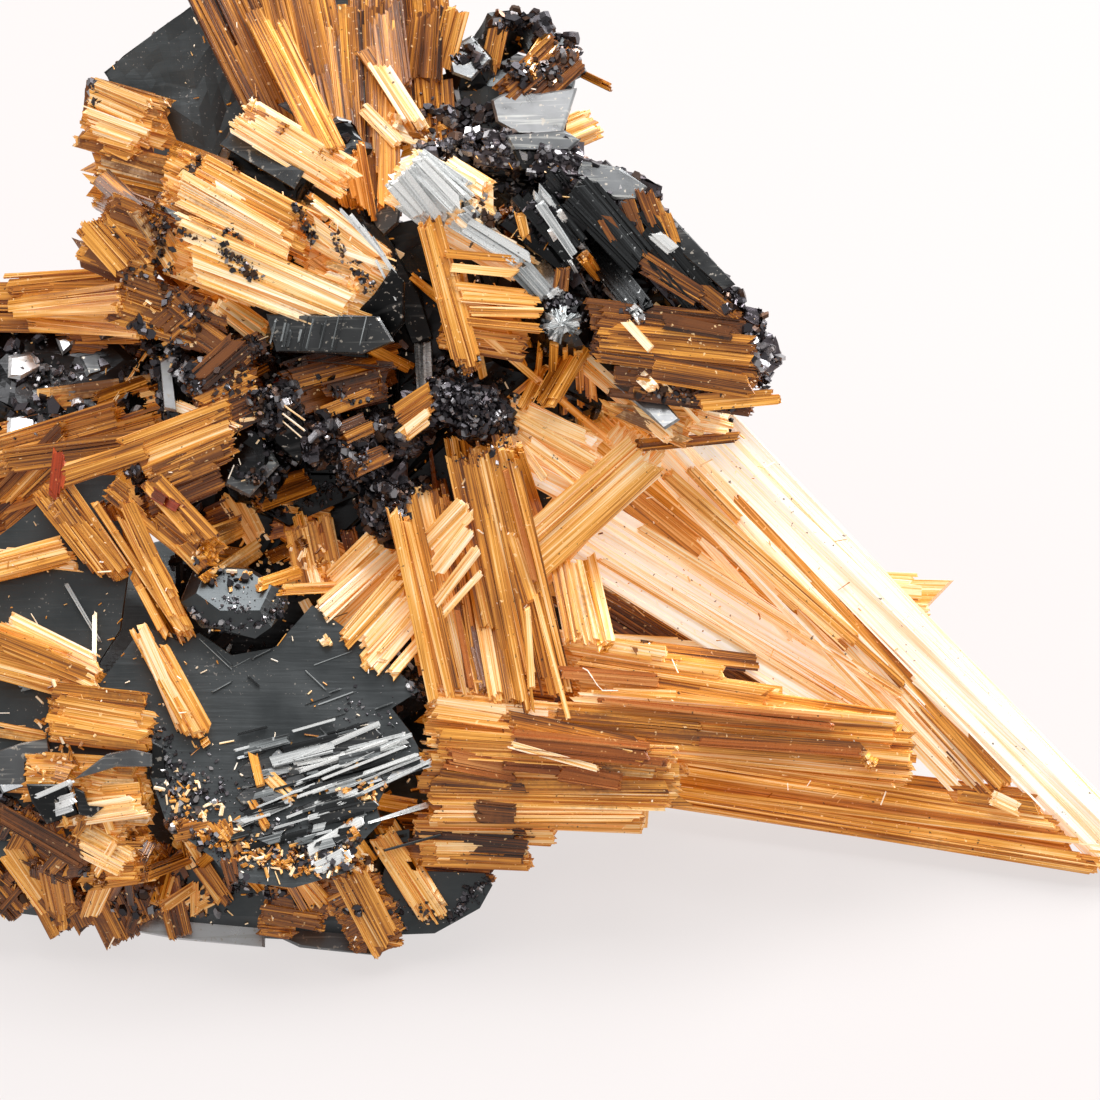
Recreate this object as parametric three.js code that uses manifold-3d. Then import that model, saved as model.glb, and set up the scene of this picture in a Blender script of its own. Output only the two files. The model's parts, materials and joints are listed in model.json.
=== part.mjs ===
// Golden rutile grown through black platy hematite, standing on one of its hematite plates.
// Millimetres, +Z up, the front of the specimen towards -Y, the origin in its underside.
import * as THREE from "three";
import { ConvexGeometry } from "three/addons/geometries/ConvexGeometry.js";
import { mergeVertices } from "three/addons/utils/BufferGeometryUtils.js";
import Module from "manifold-3d";

const wasm = await Module();
wasm.setup();

// The crystals are placed as they are seen from the front, looking down on the specimen:
// [right, up, near] is a distance to the right, upwards in that view, and towards the viewer.
const VIEW_DOWN = THREE.MathUtils.degToRad(40);
const VIEW_MIDDLE_ABOVE_TABLE = 12.4;
const VIEW_MIDDLE_RIGHT_OF_ORIGIN = 9;
const VIEW_MIDDLE_BEHIND_ORIGIN = -1.5;

const ROOM = 0.3; // clear space between crystals of different pieces
const BASE_THICKNESS = 3.2;
const BASE_BEVEL = 0.9;
const LATH_OVERLAP = 0.12; // how far each lath of a sheaf is grown into the next
const LUMP_CORNERS = 8; // corners of one small crystal of a crust
const SMALLEST_CUT = 0.0005; // mm3 below which two pieces only touch

const RUTILE_GOLD = { color: 0xcf8a35, roughness: 0.3, metalness: 0 };
const RUTILE_PALE = { color: 0xf0cf9a, roughness: 0.3, metalness: 0 };
const RUTILE_BROWN = { color: 0x8f5a26, roughness: 0.35, metalness: 0 };
const HEMATITE = { color: 0x26272a, roughness: 0.2, metalness: 0 };
const HEMATITE_CRUST = { color: 0x3a3436, roughness: 0.35, metalness: 0 };

const FROM_VIEW = new THREE.Matrix4().makeBasis(
  new THREE.Vector3(1, 0, 0),
  new THREE.Vector3(0, Math.sin(VIEW_DOWN), Math.cos(VIEW_DOWN)),
  new THREE.Vector3(0, -Math.cos(VIEW_DOWN), Math.sin(VIEW_DOWN)),
);
FROM_VIEW.setPosition(
  VIEW_MIDDLE_RIGHT_OF_ORIGIN,
  VIEW_MIDDLE_BEHIND_ORIGIN,
  VIEW_MIDDLE_ABOVE_TABLE,
);

// A repeatable source of uneven sizes: each call gives a number from 0 to 1.
function dice(seed) {
  let state = seed * 7919 + 17;
  return () => {
    state = (state * 1664525 + 1013904223) % 4294967296;
    return state / 4294967296;
  };
}

function cornersOf(geometry) {
  const position = geometry.getAttribute("position");
  const corners = [];
  for (let i = 0; i < position.count; i += 1) {
    corners.push(new THREE.Vector3().fromBufferAttribute(position, i));
  }
  return corners;
}

// One lath: a bar along X with slanting ends, thick along Y and wide along Z.
function lath(start, end, thick, wide, slant) {
  const side = new THREE.Shape();
  side.moveTo(start, -thick / 2);
  side.lineTo(end, -thick / 2);
  side.lineTo(end - slant, thick / 2);
  side.lineTo(start + slant * 0.6, thick / 2);
  side.closePath();
  const bar = new THREE.ExtrudeGeometry(side, { depth: wide, bevelEnabled: false });
  return bar.translate(0, 0, -wide / 2);
}

// A sheaf of laths side by side, from one end to the other. `reach` gives how much of the
// length each lath has, from the upper one down, `start` where they begin and `splay` the
// angle between the outer ones in degrees.
function sheaf({ from, to, width, depth, reach, start = 0, splay = 0, seed = 1 }) {
  const roll = dice(seed);
  const begin = new THREE.Vector3(...from);
  const along = new THREE.Vector3(...to).sub(begin);
  const length = along.length();
  along.normalize();
  const facing = new THREE.Vector3(0, 0, 1).addScaledVector(along, -along.z).normalize();
  const across = new THREE.Vector3().crossVectors(along, facing);
  const frame = new THREE.Matrix4().makeBasis(along, facing, across).setPosition(begin);
  const step = width / reach.length;
  const crystals = [];
  const outline = [];
  reach.forEach((share, i) => {
    const thick = depth * (0.72 + 0.28 * roll());
    const slant = depth * 0.35 * (roll() - 0.3);
    const begins = start * length * roll();
    const wide = step + LATH_OVERLAP;
    const lean = THREE.MathUtils.degToRad(splay * ((i + 0.5) / reach.length - 0.5));
    const place = new THREE.Matrix4()
      .makeRotationY(-lean)
      .setPosition(0, (depth - thick) * (roll() - 0.5), (i + 0.5) * step - width / 2);
    for (const room of [0, ROOM]) {
      const bar = lath(begins - room, share * length + room, thick + 2 * room, wide + 2 * room, slant);
      bar.applyMatrix4(place).applyMatrix4(frame).applyMatrix4(FROM_VIEW);
      if (room) outline.push(...cornersOf(bar));
      else crystals.push(bar);
    }
  });
  return { crystals, rooms: [new ConvexGeometry(outline)] };
}

// One crystal with flat faces through the given points.
function block(points) {
  const corners = points.map((point) => new THREE.Vector3(...point));
  const middle = new THREE.Vector3();
  corners.forEach((corner) => middle.addScaledVector(corner, 1 / corners.length));
  const wider = corners.map((corner) => {
    const away = corner.clone().sub(middle);
    return corner.clone().addScaledVector(away.normalize(), ROOM * 1.4);
  });
  return {
    crystals: [new ConvexGeometry(corners).applyMatrix4(FROM_VIEW)],
    rooms: [new ConvexGeometry(wider).applyMatrix4(FROM_VIEW)],
  };
}

// A hematite plate: six-sided and bevelled, its broad face square to `facing`.
function plate({ at, facing, radius, thick, bevel = 0.3, stretch = 1, seed = 1 }) {
  const roll = dice(seed);
  const normal = new THREE.Vector3(...facing).normalize();
  const side = new THREE.Vector3(1, 0, 0).addScaledVector(normal, -normal.x).normalize();
  const other = new THREE.Vector3().crossVectors(normal, side);
  const frame = new THREE.Matrix4().makeBasis(side, other, normal);
  frame.setPosition(new THREE.Vector3(...at));
  const uneven = Array.from({ length: 6 }, () => 0.85 + 0.3 * roll());
  const ringsOf = (room) =>
    [-1, -0.25, 0.25, 1].flatMap((level, ring) =>
      uneven.map((share, i) => {
        const inner = ring === 0 || ring === 3 ? 1 - bevel : 1;
        const angle = ((i + (level > 0 ? 0.15 : -0.15)) * Math.PI) / 3;
        const reach = radius * share * inner + room;
        return new THREE.Vector3(
          Math.cos(angle) * reach * stretch,
          Math.sin(angle) * reach,
          level * (thick / 2 + room),
        );
      }),
    );
  const make = (room) => new ConvexGeometry(ringsOf(room)).applyMatrix4(frame).applyMatrix4(FROM_VIEW);
  return { crystals: [make(0)], rooms: [make(ROOM)] };
}

// A plate with a free outline in the view, `near` at its middle and leaning by `lean`:
// how much nearer it comes for each millimetre to the right and upwards.
function slab({ outline, near, lean, thick }) {
  const make = (room) => {
    const centre = new THREE.Vector2();
    outline.forEach(([right, up]) => centre.add(new THREE.Vector2(right, up)));
    centre.divideScalar(outline.length);
    const shape = new THREE.Shape(
      outline.map(([right, up]) => {
        const away = new THREE.Vector2(right, up).sub(centre);
        return away.setLength(away.length() + room).add(centre);
      }),
    );
    const body = new THREE.ExtrudeGeometry(shape, { depth: thick + 2 * room, bevelEnabled: false });
    const tilt = new THREE.Matrix4().set(
      1, 0, 0, 0,
      0, 1, 0, 0,
      lean[0], lean[1], 1, near - thick / 2 - room - lean[0] * centre.x - lean[1] * centre.y,
      0, 0, 0, 1,
    );
    return body.applyMatrix4(tilt).applyMatrix4(FROM_VIEW);
  };
  return { crystals: [make(0)], rooms: [make(ROOM)] };
}

// A crust: small lumpy crystals strung along a line of points.
function crust({ along, count, size, seed }) {
  const roll = dice(seed);
  const line = new THREE.CatmullRomCurve3(along.map((point) => new THREE.Vector3(...point)));
  const crystals = [];
  const outline = [];
  for (let i = 0; i < count; i += 1) {
    const middle = line.getPoint(count > 1 ? i / (count - 1) : 0.5);
    const reach = size * (0.8 + 0.45 * roll());
    const corners = [];
    for (let k = 0; k < LUMP_CORNERS; k += 1) {
      const level = 1 - (2 * (k + 0.5)) / LUMP_CORNERS;
      const round = Math.sqrt(1 - level * level);
      const angle = k * 2.4 + roll() * 0.9;
      const out = reach * (0.82 + 0.3 * roll());
      const corner = new THREE.Vector3(Math.cos(angle) * round, level, Math.sin(angle) * round);
      corners.push(corner.multiplyScalar(out));
    }
    const place = new THREE.Matrix4().setPosition(middle);
    crystals.push(new ConvexGeometry(corners).applyMatrix4(place).applyMatrix4(FROM_VIEW));
    for (const corner of corners) {
      const wider = corner.clone().setLength(corner.length() + ROOM);
      outline.push(wider.add(middle).applyMatrix4(FROM_VIEW));
    }
  }
  return { crystals, rooms: [new ConvexGeometry(outline)] };
}

// The plate the specimen stands on, drawn from above: its flat underside lies on the table.
function standingPlate(outline) {
  const middle = new THREE.Vector2();
  outline.forEach(([x, y]) => middle.add(new THREE.Vector2(x, y).divideScalar(outline.length)));
  const make = (room) => {
    const rings = [
      [0 - room, BASE_BEVEL * 0.4 - room],
      [BASE_THICKNESS * 0.45, -room],
      [BASE_THICKNESS + room, BASE_BEVEL * 1.6 - room],
    ];
    const corners = rings.flatMap(([height, inset]) =>
      outline.map(([x, y]) => {
        const away = new THREE.Vector2(x, y).sub(middle);
        away.setLength(away.length() - inset).add(middle);
        return new THREE.Vector3(away.x, away.y, height);
      }),
    );
    return new ConvexGeometry(corners);
  };
  return { crystals: [make(0)], rooms: [make(ROOM)] };
}

function solidOf(geometry) {
  const bare = geometry.clone();
  bare.deleteAttribute("normal");
  bare.deleteAttribute("uv");
  const merged = mergeVertices(bare, 1e-4);
  return new wasm.Manifold(
    new wasm.Mesh({
      numProp: 3,
      vertProperties: new Float32Array(merged.getAttribute("position").array),
      triVerts: new Uint32Array(merged.index.array),
    }),
  );
}

function geometryOf(solid) {
  const mesh = solid.getMesh();
  const geometry = new THREE.BufferGeometry();
  geometry.setAttribute("position", new THREE.BufferAttribute(new Float32Array(mesh.vertProperties), 3));
  geometry.setIndex(new THREE.BufferAttribute(new Uint32Array(mesh.triVerts), 1));
  return geometry.toNonIndexed();
}

const specimen = new THREE.Group();
const roomsTaken = [];
const table = solidOf(new THREE.BoxGeometry(200, 200, 20).translate(0, 0, -9.95));

// Adds one named piece. Its crystals are joined, and it stops short of the earlier pieces.
function grow(name, look, ...groups) {
  let solid = groups.flatMap((group) => group.crystals.map(solidOf)).reduce((a, b) => a.add(b));
  for (const room of roomsTaken) {
    if (solid.intersect(room).volume() > SMALLEST_CUT) solid = solid.subtract(room);
  }
  if (name !== "hematite_base") solid = solid.subtract(table);
  const bodies = solid.decompose().sort((a, b) => b.volume() - a.volume());
  roomsTaken.push(...groups.flatMap((group) => group.rooms.map(solidOf)));
  const geometry = geometryOf(bodies[0]);
  geometry.computeVertexNormals();
  const mesh = new THREE.Mesh(geometry, new THREE.MeshStandardMaterial(look));
  mesh.name = name;
  specimen.add(mesh);
}

// The black hematite that everything grows from: the standing plate and the heart above it.
grow("hematite_base", HEMATITE, standingPlate([
  [-15.0, -9.2], [-5.8, -11.0], [1.8, -11.6], [5.6, -9.4], [8.0, -4.6],
  [8.4, 3.0], [4.0, 9.8], [-4.4, 12.6], [-13.0, 9.2], [-17.0, 1.6],
]));
grow("hematite_heart", HEMATITE,
  // the black inside of the left cluster
  block([
    [-12.2, 16.2, -2.4], [-8.4, 15.0, -2.4], [-6.2, 12.0, -2.2], [-6.0, 3.0, -2.2],
    [-10.5, 1.0, -2.4], [-14.2, 3.0, -2.4], [-15.0, 8.0, -2.2], [-14.6, 13.0, -2.2],
    [-12.4, 15.2, -8.5], [-6.5, 14.0, -9.0], [-5.5, 3.0, -9.5], [-14.5, 3.0, -9.0],
    [-15.0, 9.5, -8.5],
  ]),
  // the black inside of the right cluster
  block([
    [-3.6, 15.2, -1.7], [0.6, 15.0, -1.5], [3.6, 13.2, -1.3], [6.2, 10.4, -1.4],
    [7.0, 8.6, -1.8], [2.4, 5.6, -2.3], [-2.4, 8.0, -1.8], [-3.6, 13.6, -8.5],
    [2.4, 13.4, -8.0], [6.0, 10.2, -7.4], [5.4, 7.0, -7.6], [-1.0, 5.0, -8.6],
  ]),
  // the middle, down to the plate it stands on
  block([
    [-9.6, 13.0, -3.4], [-3.0, 13.4, -3.2], [0.4, 8.4, -2.6], [0.2, 1.0, -3.0],
    [-2.8, -5.2, -3.4], [-9.0, -8.4, -3.6], [-15.0, -5.6, -3.4], [-15.2, 4.0, -3.4],
    [-12.0, 12.0, -11.4], [-4.0, 13.2, -11.6], [1.4, 8.6, -11.0], [1.0, 1.4, -11.4],
    [-4.4, -2.2, -11.8], [-12.6, -2.2, -11.8], [-15.4, 5.0, -11.4],
  ]),
  // dark prisms and plates that show between the sheaves of the left cluster
  sheaf({ from: [-13.1, 16.2, -1.6], to: [-9.5, 14.4, -1.9], width: 1.2, depth: 4.0, reach: [1], seed: 3 }),
  sheaf({
    from: [-11.5, 8.95, -1.5], to: [-6.2, 8.55, -1.6], width: 1.75, depth: 4.2,
    reach: [1, 0.95], seed: 4,
  }),
  plate({ at: [-11.9, 3.4, -0.8], facing: [-0.2, 0.3, 1], radius: 1.7, thick: 3.4, stretch: 0.8, seed: 5 }),
  plate({ at: [-8.7, 15.9, -2.4], facing: [0.3, 0.5, 1], radius: 1.2, thick: 2.4, seed: 6 }),
  block([
    [-15.9, 8.2, -0.4], [-15.1, 8.4, 0.4], [-14.4, 7.6, -0.2], [-15.6, 5.2, -0.6],
    [-14.8, 5.0, 0.4], [-14.0, 5.4, -0.2], [-14.6, 7.8, -3.6], [-14.0, 6.0, -3.6],
  ]),
  // the ribbed prism and the small bright rosette of the right cluster
  sheaf({
    from: [-1.5, 13.9, -0.6], to: [1.7, 11.4, -0.7], width: 1.9, depth: 3.4,
    reach: [0.9, 1], seed: 18,
  }),
  plate({ at: [0.5, 9.2, -0.6], facing: [-0.2, 0.3, 1], radius: 1.4, thick: 3.0, seed: 19 }),
  // the plates of the back
  plate({ at: [-9.0, 4.0, -11.4], facing: [0.3, 0.9, -1], radius: 7.4, thick: 2.6, bevel: 0.16, seed: 7 }),
  plate({ at: [-3.4, -2.2, -10.6], facing: [0.5, -0.2, -1], radius: 4.8, thick: 2.4, bevel: 0.2, seed: 8 }),
);

// Crusts of small dark crystals: across the left cluster and its middle, and over the right one.
grow("hematite_crust_middle", HEMATITE_CRUST,
  crust({
    along: [[-11.8, 7.2, 0.2], [-10.4, 5.2, 0.4], [-8.4, 4.0, 0.4], [-6.6, 2.8, 0.2], [-6.4, 1.4, -0.2]],
    count: 6, size: 1.35, seed: 11,
  }),
  crust({ along: [[-6.2, 4.4, 0.0], [-4.4, 5.9, 0.2], [-2.7, 5.4, 0.2]], count: 4, size: 1.5, seed: 12 }),
);
grow("hematite_crust_right", HEMATITE_CRUST,
  crust({ along: [[-5.0, 15.7, -0.9], [-3.2, 16.1, -0.9]], count: 3, size: 0.85, seed: 13 }),
  sheaf({
    from: [-2.9, 16.1, -1.1], to: [1.2, 15.7, -1.2], width: 1.3, depth: 2.2,
    reach: [1, 0.92], seed: 14,
  }),
  sheaf({
    from: [-0.6, 15.4, -1.0], to: [4.1, 13.7, -1.1], width: 1.7, depth: 2.6,
    reach: [0.97, 1], seed: 15,
  }),
  sheaf({
    from: [2.4, 14.2, -0.9], to: [7.2, 8.9, -1.0], width: 2.1, depth: 2.6,
    reach: [0.95, 1], seed: 16,
  }),
  crust({ along: [[7.2, 9.7, -0.3], [8.4, 8.3, -0.3], [8.7, 6.7, -0.3]], count: 4, size: 0.85, seed: 17 }),
);

// The left cluster: laths falling to the right above, and rising to the right below.
grow("rutile_left_crest", RUTILE_PALE,
  sheaf({
    from: [-12.4, 17.4, -0.4], to: [-7.9, 14.7, -0.9], width: 1.5, depth: 3.2,
    reach: [0.97, 1, 0.93], seed: 21,
  }),
);
grow("rutile_left_shelf", RUTILE_GOLD,
  sheaf({
    from: [-15.3, 15.0, -0.2], to: [-9.4, 12.2, -0.4], width: 2.2, depth: 3.6,
    reach: [0.9, 1, 0.97, 0.9], start: 0.05, seed: 22,
  }),
);
grow("rutile_left_face", RUTILE_PALE,
  sheaf({
    from: [-15.2, 12.4, 0.3], to: [-6.6, 9.3, -0.5], width: 2.6, depth: 3.6,
    reach: [0.88, 1, 0.92], start: 0.06, seed: 23,
  }),
  sheaf({
    from: [-10.4, 13.6, 0.2], to: [-5.9, 10.3, -0.4], width: 2.0, depth: 3.2,
    reach: [0.9, 1], start: 0.1, seed: 24,
  }),
);
grow("rutile_left_end", RUTILE_GOLD,
  sheaf({
    from: [-18.5, 13.0, -0.2], to: [-14.9, 11.5, -0.2], width: 2.8, depth: 3.2,
    reach: [1, 0.94], start: 0.16, seed: 25,
  }),
  sheaf({
    from: [-17.7, 10.5, -0.2], to: [-13.2, 9.0, -0.4], width: 2.4, depth: 3.0,
    reach: [1, 0.92], start: 0.14, seed: 26,
  }),
);
grow("rutile_left_rising", RUTILE_BROWN,
  sheaf({
    from: [-14.9, 5.4, 0.1], to: [-10.4, 7.6, -0.4], width: 3.0, depth: 3.2,
    reach: [0.88, 1], start: 0.14, seed: 27,
  }),
  sheaf({
    from: [-11.4, 6.0, -0.3], to: [-6.0, 7.4, -0.6], width: 2.2, depth: 2.6,
    reach: [1, 0.88], start: 0.1, seed: 28,
  }),
);
grow("rutile_left_lower", RUTILE_GOLD,
  sheaf({
    from: [-16.7, 2.5, 0.2], to: [-12.2, 4.4, -0.3], width: 2.8, depth: 3.6,
    reach: [0.92, 1, 0.86], start: 0.08, seed: 29,
  }),
  sheaf({
    from: [-13.4, 0.9, 0.1], to: [-9.4, 2.6, -0.4], width: 2.0, depth: 3.0,
    reach: [0.92, 1], start: 0.16, seed: 30,
  }),
);

// The right cluster: a silver-looking bundle, level needles, and brown laths to its right end.
grow("rutile_silver_bundle", RUTILE_PALE,
  sheaf({
    from: [-6.0, 15.0, 0.2], to: [-2.5, 13.1, 0.0], width: 2.3, depth: 2.6,
    reach: [0.92, 1, 0.88], seed: 31,
  }),
  sheaf({
    from: [-4.0, 13.0, 0.0], to: [-0.6, 11.2, -0.1], width: 1.3, depth: 2.0,
    reach: [1, 0.86], seed: 32,
  }),
);
grow("rutile_level_needles", RUTILE_GOLD,
  sheaf({
    from: [-4.2, 9.9, -0.2], to: [-0.2, 9.3, -0.3], width: 3.3, depth: 1.8,
    reach: [0.84, 0.96, 1, 0.9], seed: 33,
  }),
);
grow("rutile_right_end", RUTILE_BROWN,
  sheaf({
    from: [1.4, 8.9, -0.2], to: [8.4, 7.9, -0.2], width: 1.9, depth: 3.0,
    reach: [0.94, 1], start: 0.06, seed: 34,
  }),
  sheaf({
    from: [2.4, 7.2, -0.2], to: [8.7, 6.4, -0.2], width: 1.9, depth: 2.8,
    reach: [1, 0.92], start: 0.1, seed: 35,
  }),
);
grow("rutile_right_foot", RUTILE_PALE,
  sheaf({
    from: [2.4, 6.3, -0.8], to: [6.0, 4.7, -0.9], width: 1.5, depth: 1.6,
    reach: [1, 0.92], seed: 36,
  }),
);

// The spray: steep bundles and crossing laths out of the middle of the front.
grow("rutile_steep_needle", RUTILE_GOLD,
  sheaf({
    from: [-5.0, 13.3, 1.0], to: [-3.1, 6.9, 0.9], width: 0.85, depth: 0.8,
    reach: [0.96, 1], seed: 41,
  }),
);
grow("rutile_steep_sheaf", RUTILE_GOLD,
  sheaf({
    from: [-2.9, 4.4, 0.2], to: [-0.5, -6.2, 0.4], width: 2.6, depth: 1.5,
    reach: [1, 0.98, 0.9, 0.8, 0.68], start: 0.05, splay: 1.5, seed: 42,
  }),
);
grow("rutile_steep_left_sheaf", RUTILE_GOLD,
  sheaf({
    from: [-5.3, 2.6, -0.4], to: [-3.9, -6.2, 0.3], width: 2.3, depth: 1.1,
    reach: [1, 0.94, 0.84], start: 0.06, seed: 43,
  }),
);
grow("rutile_crossing_sheaf", RUTILE_PALE,
  sheaf({
    from: [-8.9, -4.0, -1.4], to: [-3.3, 1.4, -1.5], width: 3.0, depth: 1.4,
    reach: [0.76, 0.95, 1, 0.88], start: 0.08, seed: 44,
  }),
);
grow("rutile_short_steep", RUTILE_GOLD,
  sheaf({
    from: [-9.9, 1.8, -1.0], to: [-9.0, -2.3, -0.6], width: 1.7, depth: 0.9,
    reach: [1, 0.84], start: 0.06, seed: 45,
  }),
);
grow("rutile_bright_sheaf", RUTILE_PALE,
  sheaf({
    from: [-2.3, 5.2, -1.1], to: [2.4, 2.7, -1.3], width: 2.6, depth: 1.3,
    reach: [0.8, 0.96, 1, 0.8], start: 0.04, seed: 46,
  }),
);
grow("rutile_broad_blade", RUTILE_GOLD,
  sheaf({
    from: [-1.4, -1.4, -1.0], to: [3.9, 4.9, -1.5], width: 1.9, depth: 0.9,
    reach: [0.96, 1], seed: 47,
  }),
);
grow("rutile_pale_sheaf", RUTILE_PALE,
  sheaf({
    from: [0.9, 1.0, -3.1], to: [17.6, -9.4, -5.2], width: 2.7, depth: 1.3,
    reach: [0.92, 1, 0.86, 0.66], splay: -2, seed: 48,
  }),
);
grow("rutile_between_blade", RUTILE_GOLD,
  sheaf({
    from: [1.0, 4.9, -4.9], to: [13.6, -5.2, -6.3], width: 3.1, depth: 0.9,
    reach: [0.84, 1, 0.94], seed: 49,
  }),
  sheaf({
    from: [4.2, 5.0, -5.1], to: [18.4, -9.7, -5.2], width: 1.8, depth: 0.8,
    reach: [1, 0.96], seed: 56,
  }),
);
grow("rutile_narrow_blade", RUTILE_PALE,
  sheaf({
    from: [3.9, 4.3, -2.3], to: [17.4, -9.5, -3.9], width: 1.4, depth: 0.8,
    reach: [1, 0.96], seed: 50,
  }),
);
grow("rutile_long_blade", RUTILE_PALE,
  sheaf({
    from: [6.0, 5.0, -3.2], to: [24.0, -13.0, -3.6], width: 2.5, depth: 1.2,
    reach: [0.97, 1, 0.97], splay: -3, seed: 51,
  }),
);
grow("rutile_back_blade", RUTILE_GOLD,
  sheaf({
    from: [1.4, -1.3, -7.2], to: [15.5, -2.3, -8.2], width: 1.7, depth: 1.4,
    reach: [0.97, 1], seed: 52,
  }),
);
grow("rutile_back_fan", RUTILE_BROWN,
  sheaf({
    from: [0.6, -0.2, -6.4], to: [11.4, -6.6, -7.2], width: 4.0, depth: 1.4,
    reach: [0.92, 1, 0.84], splay: 3, seed: 53,
  }),
);
grow("rutile_table_blade", RUTILE_BROWN,
  sheaf({
    from: [0.8, -8.7, -6.5], to: [24.6, -12.1, -3.0], width: 2.1, depth: 1.5,
    reach: [0.98, 1, 0.95], seed: 54,
  }),
);
grow("rutile_level_bundle", RUTILE_GOLD,
  sheaf({
    from: [-4.8, -6.2, 0.4], to: [14.3, -7.9, 0.4], width: 2.2, depth: 2.4,
    reach: [0.97, 1], seed: 55,
  }),
  sheaf({
    from: [-1.8, -4.0, -0.1], to: [11.2, -6.0, -0.1], width: 2.3, depth: 2.2,
    reach: [0.5, 0.66, 0.85, 1], seed: 56,
  }),
);
grow("rutile_stepped_laths", RUTILE_BROWN,
  sheaf({
    from: [-5.2, -8.4, 0.9], to: [5.5, -8.9, 0.8], width: 1.9, depth: 2.6,
    reach: [1, 0.96], seed: 57,
  }),
  sheaf({
    from: [-4.8, -10.0, 0.7], to: [4.7, -10.1, 0.6], width: 1.7, depth: 2.4,
    reach: [1, 0.9], seed: 58,
  }),
  sheaf({
    from: [-5.4, -11.5, 0.4], to: [0.2, -11.7, 0.3], width: 1.9, depth: 2.2,
    reach: [1, 0.84], seed: 59,
  }),
);

// Hematite plates at the lower left, with sheaves and blocks of rutile lying on them.
grow("hematite_star_plate", HEMATITE,
  slab({
    outline: [
      [-16.2, -3.0], [-18.0, -5.4], [-15.8, -7.0], [-15.9, -9.0], [-15.1, -11.2], [-12.7, -12.2],
      [-9.4, -11.4], [-8.0, -9.6], [-4.8, -8.6], [-5.6, -7.2], [-6.3, -6.3], [-5.2, -5.6],
      [-6.8, -4.2], [-8.2, -3.1], [-9.5, -2.2], [-10.2, -3.0], [-11.0, -3.9], [-12.7, -4.2],
      [-14.0, -3.3], [-14.7, -3.7],
    ],
    near: 1.2, lean: [0, -0.24], thick: 1.3,
  }),
  slab({
    outline: [
      [-15.1, -11.0], [-13.4, -12.2], [-12.7, -13.1], [-10.2, -13.4], [-8.1, -12.8], [-7.8, -11.9],
      [-6.7, -10.8], [-6.9, -10.2], [-6.4, -9.2], [-8.0, -8.2], [-13.6, -8.6],
    ],
    near: 2.5, lean: [0.02, -0.3], thick: 1.2,
  }),
);
grow("hematite_small_crystal", HEMATITE,
  plate({ at: [-12.6, -2.0, 1.4], facing: [0, 0.7, 1], radius: 1.7, thick: 1.5, stretch: 1.3, seed: 61 }),
);
grow("hematite_left_plate", HEMATITE,
  slab({
    outline: [
      [-26.6, -9.0], [-22.4, -12.4], [-18.6, -11.6], [-17.2, -8.0], [-18.6, -5.4], [-17.2, -3.2],
      [-16.9, -1.0], [-17.4, 3.0], [-18.4, 3.0], [-20.2, 2.0], [-22.0, 0.6], [-25.8, 0.4],
      [-28.6, -3.2],
    ], near: -0.4, lean: [0.02, -0.14], thick: 1.5,
  }),
);
grow("hematite_front_plate", HEMATITE,
  slab({
    outline: [
      [-7.4, -15.4], [-4.6, -15.3], [-2.8, -14.3], [-2.3, -13.4], [-3.2, -12.0], [-4.8, -11.0],
      [-7.0, -11.4],
    ], near: 0.2, lean: [0, -0.1], thick: 1.2,
  }),
);
grow("rutile_red_wedge", RUTILE_GOLD,
  sheaf({
    from: [-20.0, 2.6, 0.6], to: [-17.2, -1.2, 0.9], width: 1.5, depth: 0.9,
    reach: [1, 0.86], splay: -8, seed: 71,
  }),
);
grow("rutile_plate_sheaf_upper", RUTILE_GOLD,
  sheaf({
    from: [-17.3, 2.8, 1.3], to: [-13.4, -0.4, 1.3], width: 1.4, depth: 0.9,
    reach: [1, 0.92], start: 0.05, seed: 72,
  }),
);
grow("rutile_plate_sheaf_lower", RUTILE_GOLD,
  sheaf({
    from: [-17.8, 2.4, 1.0], to: [-14.7, -3.4, 1.6], width: 1.3, depth: 0.9,
    reach: [1, 0.95], start: 0.06, seed: 73,
  }),
);
grow("rutile_plate_needles", RUTILE_GOLD,
  sheaf({
    from: [-16.3, -3.0, 1.8], to: [-13.8, -7.4, 2.6], width: 0.9, depth: 0.5,
    reach: [1, 0.96], splay: -3, seed: 74,
  }),
);
grow("rutile_left_wedge", RUTILE_GOLD,
  sheaf({
    from: [-26.6, -2.6, 0.9], to: [-18.0, -5.3, 1.6], width: 2.3, depth: 1.4,
    reach: [0.84, 1, 0.92], splay: -7, seed: 75,
  }),
  sheaf({
    from: [-26.0, -1.9, 0.7], to: [-18.6, 0.2, 0.7], width: 1.1, depth: 0.9,
    reach: [0.9, 1], splay: -5, seed: 76,
  }),
);
grow("rutile_plate_block", RUTILE_GOLD,
  sheaf({
    from: [-20.0, -6.4, 1.9], to: [-15.6, -6.9, 2.3], width: 2.2, depth: 1.6,
    reach: [0.9, 1, 0.95], start: 0.06, seed: 77,
  }),
);
grow("rutile_plate_stubs", RUTILE_GOLD,
  sheaf({
    from: [-21.2, -9.0, 1.4], to: [-15.9, -9.3, 2.2], width: 1.8, depth: 1.6,
    reach: [0.94, 1], start: 0.1, seed: 78,
  }),
  sheaf({
    from: [-19.4, -11.0, 1.5], to: [-16.0, -10.7, 2.3], width: 1.9, depth: 1.8,
    reach: [1, 0.92], start: 0.1, seed: 79,
  }),
  sheaf({
    from: [-18.6, -12.6, 1.6], to: [-15.8, -12.2, 2.2], width: 1.6, depth: 1.5,
    reach: [1], seed: 80,
  }),
);
grow("rutile_corner_ridge", RUTILE_BROWN,
  sheaf({
    from: [-24.6, -9.6, 0.9], to: [-18.8, -12.4, 1.2], width: 1.9, depth: 1.6,
    reach: [0.95, 1], start: 0.05, seed: 81,
  }),
);
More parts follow.
